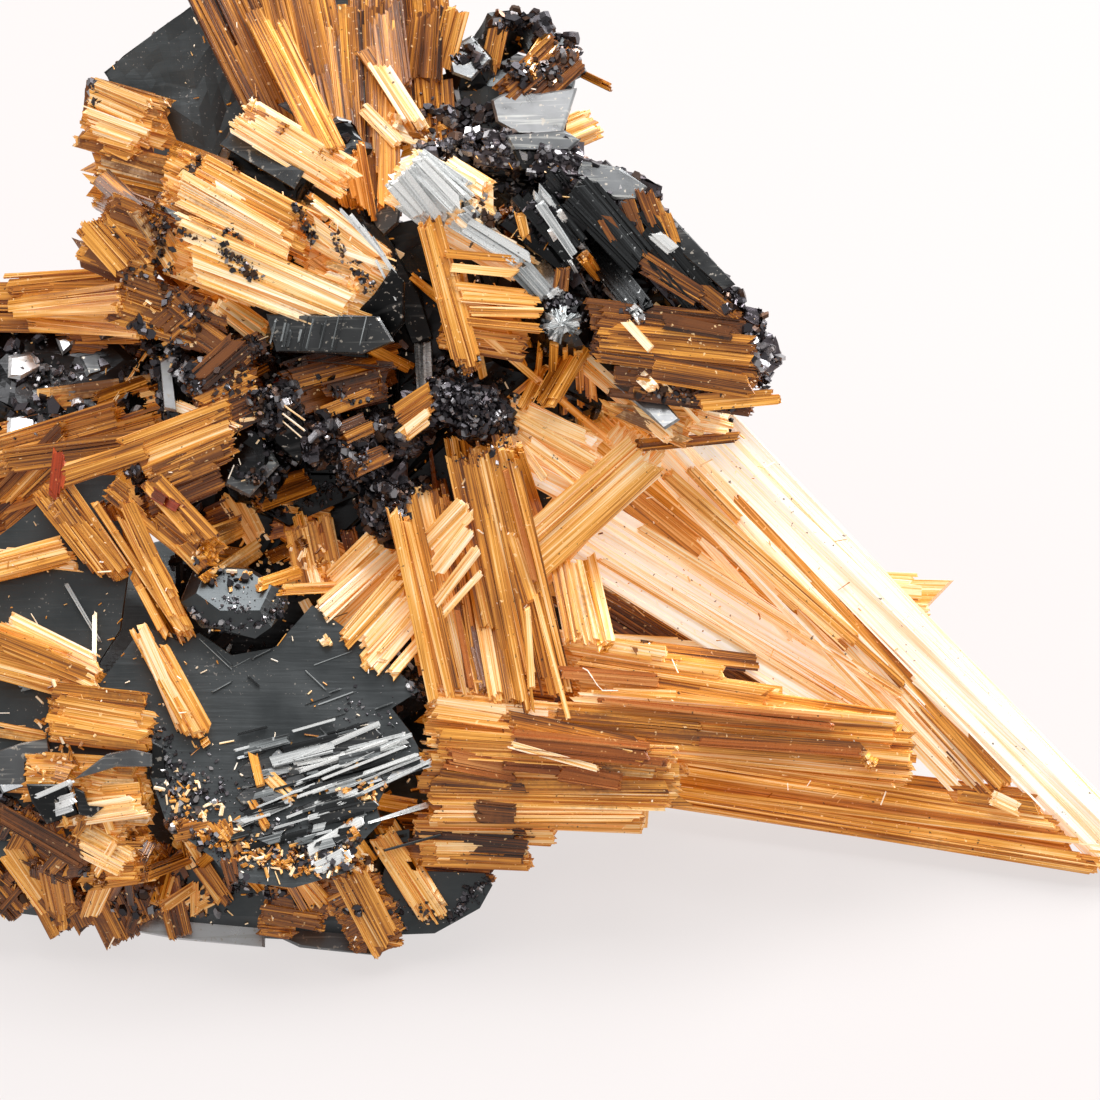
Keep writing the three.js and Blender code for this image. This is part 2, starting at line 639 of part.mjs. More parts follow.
grow("rutile_corner_blades", RUTILE_GOLD,
  sheaf({
    from: [-23.0, -11.2, 0.7], to: [-20.4, -14.4, 0.2], width: 2.4, depth: 1.5,
    reach: [1, 0.9], seed: 82,
  }),
  sheaf({
    from: [-20.2, -12.6, 0.6], to: [-18.9, -15.2, 0.2], width: 2.0, depth: 1.2,
    reach: [1, 0.92], seed: 83,
  }),
  sheaf({
    from: [-17.6, -12.8, 0.7], to: [-16.4, -15.3, 0.3], width: 2.8, depth: 1.2,
    reach: [0.9, 1], seed: 84,
  }),
);
grow("rutile_front_blocks", RUTILE_GOLD,
  sheaf({
    from: [-9.9, -12.6, 1.5], to: [-10.4, -15.5, 0.9], width: 2.4, depth: 1.2,
    reach: [0.86, 1], seed: 85,
  }),
  sheaf({
    from: [-8.4, -12.4, 1.5], to: [-6.6, -15.9, 0.8], width: 2.0, depth: 1.2,
    reach: [1, 0.94], seed: 86,
  }),
);
grow("rutile_front_strip", RUTILE_GOLD,
  sheaf({
    from: [-6.7, -11.4, 1.4], to: [-4.5, -14.8, 1.1], width: 1.0, depth: 0.6,
    reach: [1, 0.96], seed: 87,
  }),
);

// Behind the left cluster: a big dark crystal with rutile blocks, and the tall fan.
grow("hematite_back_crystal", HEMATITE,
  block([
    [-18.3, 19.6, -10.6], [-15.0, 22.1, -10.6], [-11.0, 25.2, -11.0], [-8.0, 22.6, -10.8],
    [-9.0, 16.6, -10.2], [-14.0, 15.7, -9.8], [-16.6, 17.2, -10.2], [-17.4, 19.4, -14.2],
    [-14.6, 21.6, -14.6], [-10.8, 24.2, -15.0], [-8.4, 22.0, -14.8], [-9.4, 12.0, -13.0],
    [-15.4, 13.0, -13.0],
  ]),
);
grow("rutile_back_blocks", RUTILE_PALE,
  sheaf({
    from: [-19.1, 17.9, -8.8], to: [-15.6, 16.9, -8.9], width: 2.8, depth: 2.2,
    reach: [0.92, 1, 0.9], start: 0.06, seed: 91,
  }),
  sheaf({
    from: [-18.8, 15.4, -8.6], to: [-14.6, 14.4, -8.8], width: 2.6, depth: 2.4,
    reach: [1, 0.92], start: 0.1, seed: 92,
  }),
);
grow("rutile_fan_left", RUTILE_GOLD,
  sheaf({
    from: [-8.9, 13.4, -4.6], to: [-14.6, 25.6, -8.9], width: 2.2, depth: 1.5,
    reach: [0.96, 1, 0.92], splay: 4, seed: 93,
  }),
);
grow("rutile_fan_middle", RUTILE_GOLD,
  sheaf({
    from: [-8.1, 13.2, -3.6], to: [-11.2, 26.4, -8.2], width: 2.4, depth: 2.0,
    reach: [0.94, 1, 0.97], splay: 3, seed: 94,
  }),
);
grow("rutile_fan_right", RUTILE_GOLD,
  sheaf({
    from: [-7.2, 13.4, -3.2], to: [-7.9, 25.8, -7.6], width: 2.3, depth: 2.0,
    reach: [0.97, 1, 0.92], splay: 4, seed: 95,
  }),
  sheaf({ from: [-7.4, 20.2, -4.6], to: [-5.2, 16.6, -3.4], width: 0.6, depth: 0.6, reach: [1], seed: 96 }),
);
grow("hematite_back_cluster", HEMATITE,
  block([
    [-2.5, 18.9, -8.6], [0.9, 18.9, -8.6], [1.1, 19.8, -9.4], [0.5, 16.6, -8.6],
    [-2.6, 16.4, -8.4], [-5.0, 17.6, -8.8], [-4.4, 19.4, -9.0], [-1.8, 20.6, -12.6],
    [1.0, 19.6, -12.6], [-1.2, 11.4, -10.6], [-4.2, 12.0, -10.6],
  ]),
  crust({
    along: [[-1.8, 21.2, -9.6], [-0.6, 21.1, -9.6], [0.4, 20.0, -9.4]], count: 3, size: 1.1, seed: 97,
  }),
  plate({ at: [-3.3, 19.8, -8.8], facing: [0, 0.3, 1], radius: 1.1, thick: 1.8, seed: 98 }),
);
grow("rutile_back_tuft", RUTILE_BROWN,
  sheaf({
    from: [-5.0, 16.4, -8.0], to: [-5.6, 24.4, -9.6], width: 2.2, depth: 1.8,
    reach: [0.96, 1, 0.86], splay: 3, seed: 99,
  }),
);
grow("rutile_back_cluster_laths", RUTILE_BROWN,
  sheaf({
    from: [-1.6, 18.2, -7.4], to: [0.8, 20.4, -8.2], width: 1.8, depth: 1.0,
    reach: [0.9, 1], seed: 100,
  }),
);

// The far left spray: golden blades over dark hematite.
grow("hematite_spray_plate", HEMATITE,
  plate({
    at: [-19.6, 6.6, -7.2], facing: [-0.1, 0.5, 1], radius: 3.7,
    thick: 2.2, stretch: 1.3, seed: 101,
  }),
);
grow("rutile_spray_upper", RUTILE_GOLD,
  sheaf({
    from: [-30.0, 9.6, -9.8], to: [-14.6, 9.4, -6.4], width: 2.8, depth: 2.2,
    reach: [0.92, 1, 0.92], splay: -3, seed: 102,
  }),
);
grow("rutile_spray_lower", RUTILE_BROWN,
  sheaf({
    from: [-30.6, 0.4, -7.2], to: [-15.2, 5.0, -4.6], width: 3.2, depth: 2.0,
    reach: [0.9, 1, 0.92], splay: -4, seed: 103,
  }),
);
grow("rutile_spray_foot", RUTILE_GOLD,
  sheaf({
    from: [-26.4, -2.4, -4.6], to: [-16.6, 1.8, -2.6], width: 2.2, depth: 1.4,
    reach: [0.92, 1], splay: -4, seed: 104,
  }),
);

// The back, which grows much as the front does: sheaves out of the dark plates.
grow("rutile_rear_sheaf", RUTILE_GOLD,
  sheaf({
    from: [-13.6, 9.0, -12.0], to: [-3.0, 3.4, -14.6], width: 3.4, depth: 2.4,
    reach: [0.84, 1, 0.95, 0.88], splay: 4, seed: 111,
  }),
);
grow("rutile_rear_blades", RUTILE_PALE,
  sheaf({
    from: [-7.0, 8.0, -11.4], to: [7.6, 2.6, -11.8], width: 2.4, depth: 1.4,
    reach: [0.94, 1, 0.86], splay: 3, seed: 112,
  }),
);
grow("rutile_rear_left", RUTILE_BROWN,
  sheaf({
    from: [-13.0, 6.6, -9.4], to: [-22.6, 1.0, -12.6], width: 3.0, depth: 1.8,
    reach: [0.92, 1], splay: 4, seed: 113,
  }),
);

export default specimen;
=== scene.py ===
# A natural specimen: sheaves, laths and long blades of golden rutile, grown through and out of
# black, platy, metallic hematite. It stands on one of its hematite plates.
import json
import math
import random

import bpy
import numpy as np
from mathutils import Matrix, Vector
from mathutils.bvhtree import BVHTree


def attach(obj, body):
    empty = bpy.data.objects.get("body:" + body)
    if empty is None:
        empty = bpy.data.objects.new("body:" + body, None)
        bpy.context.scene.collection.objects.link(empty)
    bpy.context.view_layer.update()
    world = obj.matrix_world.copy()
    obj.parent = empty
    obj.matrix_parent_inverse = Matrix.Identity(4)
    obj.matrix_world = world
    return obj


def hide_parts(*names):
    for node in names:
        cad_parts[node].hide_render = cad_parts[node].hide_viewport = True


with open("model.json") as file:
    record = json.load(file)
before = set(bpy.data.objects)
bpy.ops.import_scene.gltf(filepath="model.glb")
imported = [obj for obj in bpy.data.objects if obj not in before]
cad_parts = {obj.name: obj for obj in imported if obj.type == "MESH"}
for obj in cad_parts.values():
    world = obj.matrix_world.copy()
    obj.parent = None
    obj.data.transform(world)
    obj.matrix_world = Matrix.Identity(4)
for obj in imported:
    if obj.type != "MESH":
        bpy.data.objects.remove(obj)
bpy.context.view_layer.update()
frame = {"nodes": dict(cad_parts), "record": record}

# The floor, the light and the view. The specimen lies on a wide pale sheet under soft light from
# behind and above; the sheet lets some light through, and the room on the viewer's side is dim.
MM = 0.001
VIEW_DOWN = math.radians(40)
VIEW_MIDDLE = Vector((9.0, -1.5, 12.4))
TOWARDS_VIEWER = Vector((0, -math.cos(VIEW_DOWN), math.sin(VIEW_DOWN)))
VIEW_WIDTH = 44.0
VIEW_DISTANCE = 420.0
SENSOR_WIDTH = 36
FLOOR_COLOUR = (0.08, 0.074, 0.073, 1)
FLOOR_GLOW = (1.0, 0.955, 0.945, 1)
HALF_FLOOR = 1.5


def plain_material(name, colour, roughness):
    material = bpy.data.materials.new(name)
    material.use_nodes = True
    shader = material.node_tree.nodes["Principled BSDF"]
    shader.inputs["Base Color"].default_value = colour
    shader.inputs["Roughness"].default_value = roughness
    return material, shader


floor_mesh = bpy.data.meshes.new("floor")
floor_mesh.from_pydata(
    [(-HALF_FLOOR, -HALF_FLOOR, 0), (HALF_FLOOR, -HALF_FLOOR, 0),
     (HALF_FLOOR, HALF_FLOOR, 0), (-HALF_FLOOR, HALF_FLOOR, 0)], [], [(0, 1, 2, 3)])
floor = bpy.data.objects.new("floor", floor_mesh)
bpy.context.scene.collection.objects.link(floor)
paper, shader = plain_material("pale paper", FLOOR_COLOUR, 0.9)
shader.inputs["Emission Color"].default_value = FLOOR_GLOW
shader.inputs["Emission Strength"].default_value = 0.7
floor_mesh.materials.append(paper)

world = bpy.data.worlds.new("dim room")
bpy.context.scene.world = world
world.use_nodes = True
world.node_tree.nodes["Background"].inputs["Color"].default_value = (1.0, 0.985, 0.97, 1)
world.node_tree.nodes["Background"].inputs["Strength"].default_value = 0.55


def softbox(name, place, aim, size, power):
    light = bpy.data.lights.new(name, "AREA")
    light.shape = "RECTANGLE"
    light.size, light.size_y = size[0] * MM, size[1] * MM
    light.energy = power
    lamp = bpy.data.objects.new(name, light)
    bpy.context.scene.collection.objects.link(lamp)
    lamp.location = Vector(place) * MM
    towards = (Vector(aim) - Vector(place)).normalized()
    lamp.rotation_euler = towards.to_track_quat("-Z", "Y").to_euler()


softbox("light above", (60, 190, 480), (8, 0, 0), (520, 400), 4.4)
softbox("light right", (300, 200, 200), (16, 2, 6), (200, 180), 3.4)
softbox("light left", (-380, 60, 300), (0, 0, 10), (160, 240), 0.8)

camera = bpy.data.objects.new("camera", bpy.data.cameras.new("camera"))
bpy.context.scene.collection.objects.link(camera)
camera.location = (VIEW_MIDDLE + TOWARDS_VIEWER * VIEW_DISTANCE) * MM
camera.rotation_euler = (math.pi / 2 - VIEW_DOWN, 0, 0)
camera.data.sensor_width = SENSOR_WIDTH
camera.data.lens = SENSOR_WIDTH * VIEW_DISTANCE / VIEW_WIDTH
camera.data.clip_start = 0.01
camera.data.clip_end = 10
bpy.context.scene.camera = camera
bpy.context.scene.view_settings.view_transform = "Standard"


# The black inside: the hematite plate it stands on and the heart above it, from which all the
# crystals grow. Hematite is opaque and metallic, with growth lines, pits and dust.
def shader_node(nodes, kind, **settings):
    made = nodes.new(kind)
    for key, value in settings.items():
        if key in made.inputs:
            made.inputs[key].default_value = value
        else:
            setattr(made, key, value)
    return made


def grey(value):
    return (value, value, value, 1)


def colour_ramp(nodes, links, source, *stops):
    """Colours through (position, colour) stops, driven by the source socket."""
    made = nodes.new("ShaderNodeValToRGB")
    made.color_ramp.elements[0].position, made.color_ramp.elements[0].color = stops[0]
    made.color_ramp.elements[1].position, made.color_ramp.elements[1].color = stops[-1]
    for position, colour in stops[1:-1]:
        made.color_ramp.elements.new(position).color = colour
    links.new(source, made.inputs["Fac"])
    return made.outputs["Color"]


def mixed_colour(nodes, links, share, first, second):
    """The first colour, with the second over it where the share socket is 1."""
    made = shader_node(nodes, "ShaderNodeMix", data_type="RGBA")
    links.new(share, made.inputs["Factor"])
    for socket, colour in ((made.inputs[6], first), (made.inputs[7], second)):
        if isinstance(colour, tuple):
            socket.default_value = colour
        else:
            links.new(colour, socket)
    return made.outputs[2]


def spread_value(nodes, links, source, low, high):
    made = shader_node(nodes, "ShaderNodeMapRange")
    made.inputs["To Min"].default_value = low
    made.inputs["To Max"].default_value = high
    links.new(source, made.inputs["Value"])
    return made.outputs["Result"]


def noise_at(nodes, links, place, scale, detail):
    made = shader_node(nodes, "ShaderNodeTexNoise", Scale=scale, Detail=detail)
    links.new(place, made.inputs["Vector"])
    return made.outputs["Fac"]


DUST_COLOUR = (0.36, 0.33, 0.3, 1)


def hematite_material(name, dark, light, smooth, rough, line_turn, dust_share=0.3, relief=0.00004):
    """Metallic hematite from a dark to a light colour, with growth lines turned by line_turn."""
    material, shader = plain_material(name, dark, smooth)
    nodes, links = material.node_tree.nodes, material.node_tree.links
    shader.inputs["Metallic"].default_value = 0.92
    place = shader_node(nodes, "ShaderNodeTexCoord").outputs["Object"]
    lines_map = shader_node(nodes, "ShaderNodeMapping",
                            Rotation=(VIEW_DOWN, 0, math.radians(line_turn)), Scale=(300, 6000, 300))
    links.new(place, lines_map.inputs["Vector"])
    lines = noise_at(nodes, links, lines_map.outputs["Vector"], 1.0, 3.0)
    cloud = noise_at(nodes, links, place, 380.0, 5.0)
    dust = noise_at(nodes, links, place, 8500.0, 2.0)
    tone = colour_ramp(nodes, links, cloud, (0.35, dark), (0.72, light))
    gathered = shader_node(nodes, "ShaderNodeMath", operation="ADD")
    links.new(dust, gathered.inputs[0])
    links.new(spread_value(nodes, links, cloud, -0.3, 0.3), gathered.inputs[1])
    dust_at = colour_ramp(nodes, links, gathered.outputs["Value"], (0.84 - 0.3 * dust_share, grey(0)),
                          (0.9 - 0.3 * dust_share, grey(0.8)))
    scratch_at = colour_ramp(nodes, links, lines, (0.62, grey(0)), (0.7, grey(0.6)))
    scratched = mixed_colour(nodes, links, scratch_at, tone, light)
    links.new(mixed_colour(nodes, links, dust_at, scratched, DUST_COLOUR),
              shader.inputs["Base Color"])
    links.new(spread_value(nodes, links, cloud, smooth, rough), shader.inputs["Roughness"])
    bump = shader_node(nodes, "ShaderNodeBump", Strength=0.4, Distance=relief)
    links.new(lines, bump.inputs["Height"])
    pits = shader_node(nodes, "ShaderNodeBump", Strength=0.25, Distance=relief)
    links.new(cloud, pits.inputs["Height"])
    links.new(bump.outputs["Normal"], pits.inputs["Normal"])
    links.new(pits.outputs["Normal"], shader.inputs["Normal"])
    return material


BLACK_FACES = hematite_material("black hematite", (0.012, 0.0125, 0.013, 1), (0.045, 0.045, 0.047, 1),
                                0.14, 0.42, 25)
GREY_FACES = hematite_material("grey hematite", (0.058, 0.064, 0.067, 1), (0.105, 0.113, 0.117, 1),
                               0.3, 0.5, 20, dust_share=0.4)
for name, material in (("hematite_base", GREY_FACES), ("hematite_heart", BLACK_FACES)):
    frame["nodes"][name].material_slots[0].material = material


def roughen(name, levels, depth, grain, bevel):
    """Breaks the flat faces of a CAD node up, `depth` mm deep, in patches `grain` mm across."""
    piece = frame["nodes"][name]
    edges = piece.modifiers.new("worn edges", "BEVEL")
    edges.width = bevel * MM
    edges.segments = 1
    edges.limit_method = "ANGLE"
    finer = piece.modifiers.new("finer", "SUBSURF")
    finer.subdivision_type = "SIMPLE"
    finer.levels = finer.render_levels = levels
    facets = bpy.data.textures.new(name + " facets", "VORONOI")
    facets.noise_scale = grain * MM
    rugged = piece.modifiers.new("rugged", "DISPLACE")
    rugged.texture = facets
    rugged.texture_coords = "LOCAL"
    rugged.strength = depth * MM
    rugged.mid_level = 0.5


roughen("hematite_heart", 2, 0.35, 0.9, 0.12)


def corners_and_faces(name):
    """A CAD node's merged corners in mm and its triangles."""
    mesh = frame["nodes"][name].data
    points = np.empty(len(mesh.vertices) * 3)
    mesh.vertices.foreach_get("co", points)
    points = points.reshape(-1, 3) / MM
    keys, index = np.unique(np.round(points, 3), axis=0, return_inverse=True)
    index = index.reshape(-1)
    faces = [tuple(int(index[v]) for v in polygon.vertices) for polygon in mesh.polygons]
    return keys, [face for face in faces if len(set(face)) == len(face)]


def finish_piece(name, mesh, material, slot, *replaced):
    piece = bpy.data.objects.new(name, mesh)
    bpy.context.scene.collection.objects.link(piece)
    mesh.materials.append(material)
    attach(piece, "root")
    if replaced:
        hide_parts(*replaced)
    return piece


def any_way(rng):
    return Vector((rng.gauss(0, 1), rng.gauss(0, 1), rng.gauss(0, 1))).normalized()


def tinted_mesh(name, points, faces, tints):
    """A mesh with a tint for each corner; nothing reaches below the floor."""
    made = bpy.data.meshes.new(name)
    made.from_pydata([(p.x * MM, p.y * MM, max(p.z, 0) * MM) for p in points], [], faces)
    colours = made.color_attributes.new("tint", "FLOAT_COLOR", "CORNER")
    colours.data.foreach_set("color", np.array(tints, dtype=np.float32).reshape(-1))
    return made


class Tablets:
    """Collects small blocky crystals of four to six uneven sides with sloping rims."""

    def __init__(self):
        self.points, self.faces, self.tints = [], [], []

    def add(self, centre, facing, size, thick, tint, rng):
        side = facing.cross(any_way(rng)).normalized()
        other = facing.cross(side)
        first, n = len(self.points), rng.choice((4, 4, 5, 6))
        inner, stretch = rng.uniform(0.45, 0.95), rng.uniform(0.45, 1.0)
        slant = (rng.uniform(-0.35, 0.35), rng.uniform(-0.35, 0.35))
        corners = []
        for k in range(n):
            turn = 2 * math.pi * (k + rng.uniform(-0.25, 0.25)) / n
            radius = size / 2 * rng.uniform(0.75, 1.1)
            corners.append((math.cos(turn) * radius, math.sin(turn) * radius * stretch))
        for share, height in ((inner, 0.5), (1.0, rng.uniform(-0.2, 0.25)), (inner, -0.5)):
            for a, b in corners:
                level = thick * height + (a * slant[0] + b * slant[1]) * share
                self.points.append(centre + side * a * share + other * b * share + facing * level)
        self.faces.append(tuple(first + k for k in range(n)))
        for ring in (first, first + n):
            self.faces += [(ring + (k + 1) % n, ring + k, ring + n + k, ring + n + (k + 1) % n)
                           for k in range(n)]
        self.faces.append(tuple(first + 2 * n + k for k in reversed(range(n))))
        self.tints += [tint] * (10 * n)

    def finish(self, name, material, slot):
        mesh = tinted_mesh(name, self.points, self.faces, self.tints)
        return finish_piece(name, mesh, material, slot)


# Small crystals differ in size, in how bright they shine and in how brown they are.
CRYSTAL_SIZES = (0.3, 0.35, 0.45, 0.55, 0.7, 0.9, 1.3, 2.0)
CRYSTAL_TONES = (0.15, 0.3, 0.5, 0.8, 2.2)
CRYSTAL_BROWNS = (0, 0.3, 1, 2)


def crystal(tablets, spot, normal, size, brown, bright, rng):
    across = size * rng.choice(CRYSTAL_SIZES)
    facing = (normal + 0.4 * any_way(rng)).normalized()
    tint = (bright * rng.choice(CRYSTAL_TONES), rng.random(), brown * rng.choice(CRYSTAL_BROWNS), 1)
    tablets.add(spot, facing, across, across * rng.uniform(0.4, 1.1), tint, rng)


ABOVE_FLOOR = 0.35


def spots_on(name, count, rng, rear_only=False):
    """Spots spread over a CAD node, or only over what faces away from the viewer, and the way each
    of them faces."""
    points, faces = corners_and_faces(name)
    areas = [np.linalg.norm(np.cross(points[b] - points[a], points[c] - points[a]))
             for a, b, c in faces]
    for a, b, c in rng.choices(faces, weights=areas, k=count):
        p, q, r = (Vector(points[v]) for v in (a, b, c))
        s, t = sorted((rng.random(), rng.random()))
        spot = p * s + q * (t - s) + r * (1 - t)
        normal = (q - p).cross(r - p)
        if rear_only and normal.dot(TOWARDS_VIEWER) > 0:
            continue
        if spot.z > ABOVE_FLOOR and normal.length > 1e-9:
            yield spot, normal.normalized()


def crust_over(tablets, name, count, size, seed, brown=0.2, bright=0.3, rear_only=False):
    """Grows crystals all over a CAD node."""
    rng = random.Random(seed)
    for spot, normal in list(spots_on(name, count, rng, rear_only)):
        crystal(tablets, spot, normal, size, brown, bright, rng)


RUST_COLOUR = (0.085, 0.04, 0.02, 1)


def crust_material():
    """Small glossy crystals, each with its own brightness, and browned in patches."""
    material, shader = plain_material("hematite crust", (0.05, 0.045, 0.055, 1), 0.25)
    nodes, links = material.node_tree.nodes, material.node_tree.links
    shader.inputs["Metallic"].default_value = 0.7
    tint = shader_node(nodes, "ShaderNodeAttribute", attribute_name="tint")
    parts = shader_node(nodes, "ShaderNodeSeparateColor")
    links.new(tint.outputs["Color"], parts.inputs["Color"])
    place = shader_node(nodes, "ShaderNodeTexCoord").outputs["Object"]
    cloud = noise_at(nodes, links, place, 2600.0, 4.0)
    tone = colour_ramp(nodes, links, parts.outputs["Red"], (0.0, (0.018, 0.017, 0.02, 1)),
                       (0.5, (0.115, 0.105, 0.118, 1)), (1.0, (0.42, 0.41, 0.42, 1)))
    brown_at = shader_node(nodes, "ShaderNodeMath", operation="MULTIPLY")
    links.new(cloud, brown_at.inputs[0])
    links.new(parts.outputs["Blue"], brown_at.inputs[1])
    share = colour_ramp(nodes, links, brown_at.outputs["Value"], (0.16, grey(0)), (0.36, grey(0.85)))
    browned = mixed_colour(nodes, links, share, tone, RUST_COLOUR)
    links.new(browned, shader.inputs["Base Color"])
    links.new(spread_value(nodes, links, cloud, 0.08, 0.5), shader.inputs["Roughness"])
    bump = shader_node(nodes, "ShaderNodeBump", Strength=0.5, Distance=0.00003)
    links.new(cloud, bump.inputs["Height"])
    links.new(bump.outputs["Normal"], shader.inputs["Normal"])
    return material


CRUST = crust_material()
UNDER_CRUST = hematite_material("hematite under crust", (0.03, 0.026, 0.031, 1),
                                (0.14, 0.12, 0.13, 1), 0.12, 0.5, 25, relief=0.00006)
inside = Tablets()
crust_over(inside, "hematite_heart", 1100, 0.4, 11, bright=0.25)
inside.finish("hematite_inside_crystals", CRUST, "hematite")


# The left cluster: rutile in laths falling to the right above and rising to the right below, all
# striped lengthways and broken off in steps, over black hematite with a sparkling crust.
def seen(right, up, near=0.0):
    """A point in mm from where it is seen: to the right, upwards in the view, towards the viewer."""
    sine, cosine = math.sin(VIEW_DOWN), math.cos(VIEW_DOWN)
    return VIEW_MIDDLE + Vector((right, up * sine - near * cosine, up * cosine + near * sine))


def one_surface(names):
    points, faces = [], []
    for name in names:
        own_points, own_faces = corners_and_faces(name)
        faces += [tuple(v + len(points) for v in face) for face in own_faces]
        points += [Vector(p) for p in own_points]
    return BVHTree.FromPolygons(points, faces)


ALL_SOLIDS = one_surface(frame["nodes"])
FAR = 60.0


def landing(right, up):
    """How near to the viewer the specimen is where it is seen there, and which way it faces."""
    hit, normal, _, distance = ALL_SOLIDS.ray_cast(seen(right, up, FAR), -TOWARDS_VIEWER)
    return (None, None) if hit is None else (FAR - distance, normal)


def crust_patches(tablets, rows):
    """Grows crystals on what is seen along paths of (right, up) points. A row holds the path, how
    far the crystals stray from it, their count, size, seed, brown and bright shares and lift."""
    for path, reach, count, size, seed, brown, bright, lift in rows:
        rng = random.Random(seed)
        legs = list(zip(path, path[1:]))
        for _ in range(count):
            start, end = rng.choice(legs)
            share = rng.random()
            right = start[0] + (end[0] - start[0]) * share + rng.gauss(0, reach * 0.5)
            up = start[1] + (end[1] - start[1]) * share + rng.gauss(0, reach * 0.5)
            near, normal = landing(right, up)
            if near is not None:
                spot = seen(right, up, near + lift + size * rng.uniform(-0.2, 0.25))
                crystal(tablets, spot, normal, size, brown, bright, rng)


RUTILE_SHADES = (
    (0.00, (0.035, 0.010, 0.002, 1)),
    (0.16, (0.17, 0.050, 0.006, 1)),
    (0.32, (0.45, 0.175, 0.018, 1)),
    (0.47, (0.71, 0.34, 0.055, 1)),
    (0.62, (0.83, 0.55, 0.25, 1)),
    (0.74, (0.89, 0.70, 0.47, 1)),
    (1.00, (0.98, 0.92, 0.84, 1)),
)
SILVER_SHADES = (
    (0.00, (0.010, 0.011, 0.012, 1)),
    (0.30, (0.04, 0.043, 0.045, 1)),
    (0.50, (0.26, 0.28, 0.285, 1)),
    (0.75, (0.74, 0.76, 0.76, 1)),
    (1.00, (0.90, 0.90, 0.88, 1)),
)


FLECK_COLOUR = (0.04, 0.02, 0.01, 1)


def striped_material(name, shades, roughness, painted_glow, stain_colour, glint_colour):
    """Crystal laths, each in its own shade, striped and lined lengthways, with dirt in patches.
    The painted glow is light that the laths give off themselves; it stands in for the light that comes
    through from behind."""
    material, shader = plain_material(name, shades[-1][1], roughness)
    nodes, links = material.node_tree.nodes, material.node_tree.links
    tint = shader_node(nodes, "ShaderNodeAttribute", attribute_name="tint")
    parts = shader_node(nodes, "ShaderNodeSeparateColor")
    links.new(tint.outputs["Color"], parts.inputs["Color"])
    along = shader_node(nodes, "ShaderNodeUVMap", uv_map="along").outputs["UV"]
    place = shader_node(nodes, "ShaderNodeTexCoord").outputs["Object"]

    def stripes(scale_along, scale_across, detail):
        stretched = shader_node(nodes, "ShaderNodeMapping", Scale=(scale_along, scale_across, 1))
        links.new(along, stretched.inputs["Vector"])
        return noise_at(nodes, links, stretched.outputs["Vector"], 1.0, detail)

    def weighted(value, weight, rest):
        made = shader_node(nodes, "ShaderNodeMath", operation="MULTIPLY_ADD")
        links.new(value, made.inputs[0])
        made.inputs[1].default_value = weight
        if isinstance(rest, float):
            made.inputs[2].default_value = rest
        else:
            links.new(rest, made.inputs[2])
        return made.outputs["Value"]

    cloud = noise_at(nodes, links, place, 330.0, 3.0)
    grain = noise_at(nodes, links, place, 5200.0, 2.0)
    broad, fine = stripes(0.12, 6, 1.0), stripes(0.25, 20, 4.0)
    value = weighted(broad, 0.8, weighted(fine, 0.95, weighted(cloud, 0.3, parts.outputs["Red"])))
    shade = colour_ramp(nodes, links, weighted(value, 0.81, -0.83), *shades)
    stain_at = shader_node(nodes, "ShaderNodeMath", operation="MULTIPLY")
    links.new(cloud, stain_at.inputs[0])
    links.new(parts.outputs["Blue"], stain_at.inputs[1])
    stained = colour_ramp(nodes, links, weighted(grain, 0.25, stain_at.outputs["Value"]),
                          (0.42, grey(0)), (0.62, grey(0.9)))
    dirty = mixed_colour(nodes, links, stained, shade, stain_colour)
    # pale specks along the grain are painted glints
    painted_glints = colour_ramp(nodes, links, grain, (0.68, grey(0)), (0.74, grey(0.7)))
    glinted = mixed_colour(nodes, links, painted_glints, dirty, glint_colour)
    flecks = colour_ramp(nodes, links, grain, (0.25, grey(0.85)), (0.30, grey(0)))
    colour = mixed_colour(nodes, links, flecks, glinted, FLECK_COLOUR)
    links.new(colour, shader.inputs["Base Color"])
    # painted glow: the laths give off light in their own deepened colour, which tints their shade
    # orange as light through them would
    painted_glow_colour = shader_node(nodes, "ShaderNodeGamma", Gamma=1.6)
    links.new(colour, painted_glow_colour.inputs["Color"])
    links.new(painted_glow_colour.outputs["Color"], shader.inputs["Emission Color"])
    shader.inputs["Emission Strength"].default_value = painted_glow
    links.new(spread_value(nodes, links, grain, roughness * 0.5, roughness * 1.8),
              shader.inputs["Roughness"])
    bump = shader_node(nodes, "ShaderNodeBump", Strength=0.7, Distance=0.000022)
    links.new(fine, bump.inputs["Height"])
    links.new(bump.outputs["Normal"], shader.inputs["Normal"])
    return material, shader


RUTILE, shader = striped_material("golden rutile", RUTILE_SHADES, 0.2, 0.3,
                                  (0.16, 0.05, 0.008, 1), (0.95, 0.70, 0.38, 1))
shader.inputs["IOR"].default_value = 1.75
shader.inputs["Specular IOR Level"].default_value = 0.36
SILVER, shader = striped_material("silvery hematite fibres", SILVER_SHADES, 0.24, 0.0,
                                  (0.06, 0.035, 0.02, 1), (0.7, 0.72, 0.72, 1))
shader.inputs["Metallic"].default_value = 0.45


class Block:
    """Laths that grew together: their losses and slants at each end, level, turn and shade."""

    LOSSES = (0, 0, 0.05, 0.12, 0.25, 0.5)
    SLANT = 0.5
    LARGEST_STEP = 0.06
    TURN = 0.012

    def __init__(self, rng, ragged):
        self.losses = [ragged * rng.choice(self.LOSSES) for _ in range(2)]
        self.slants = [(rng.gauss(0, self.SLANT), rng.gauss(0, self.SLANT)) for _ in range(2)]
        self.level = self.LARGEST_STEP * min(ragged, 1.0) * rng.uniform(-1, 1)
        self.turn = rng.gauss(0, self.TURN)
        self.tone = rng.uniform(-1, 1)


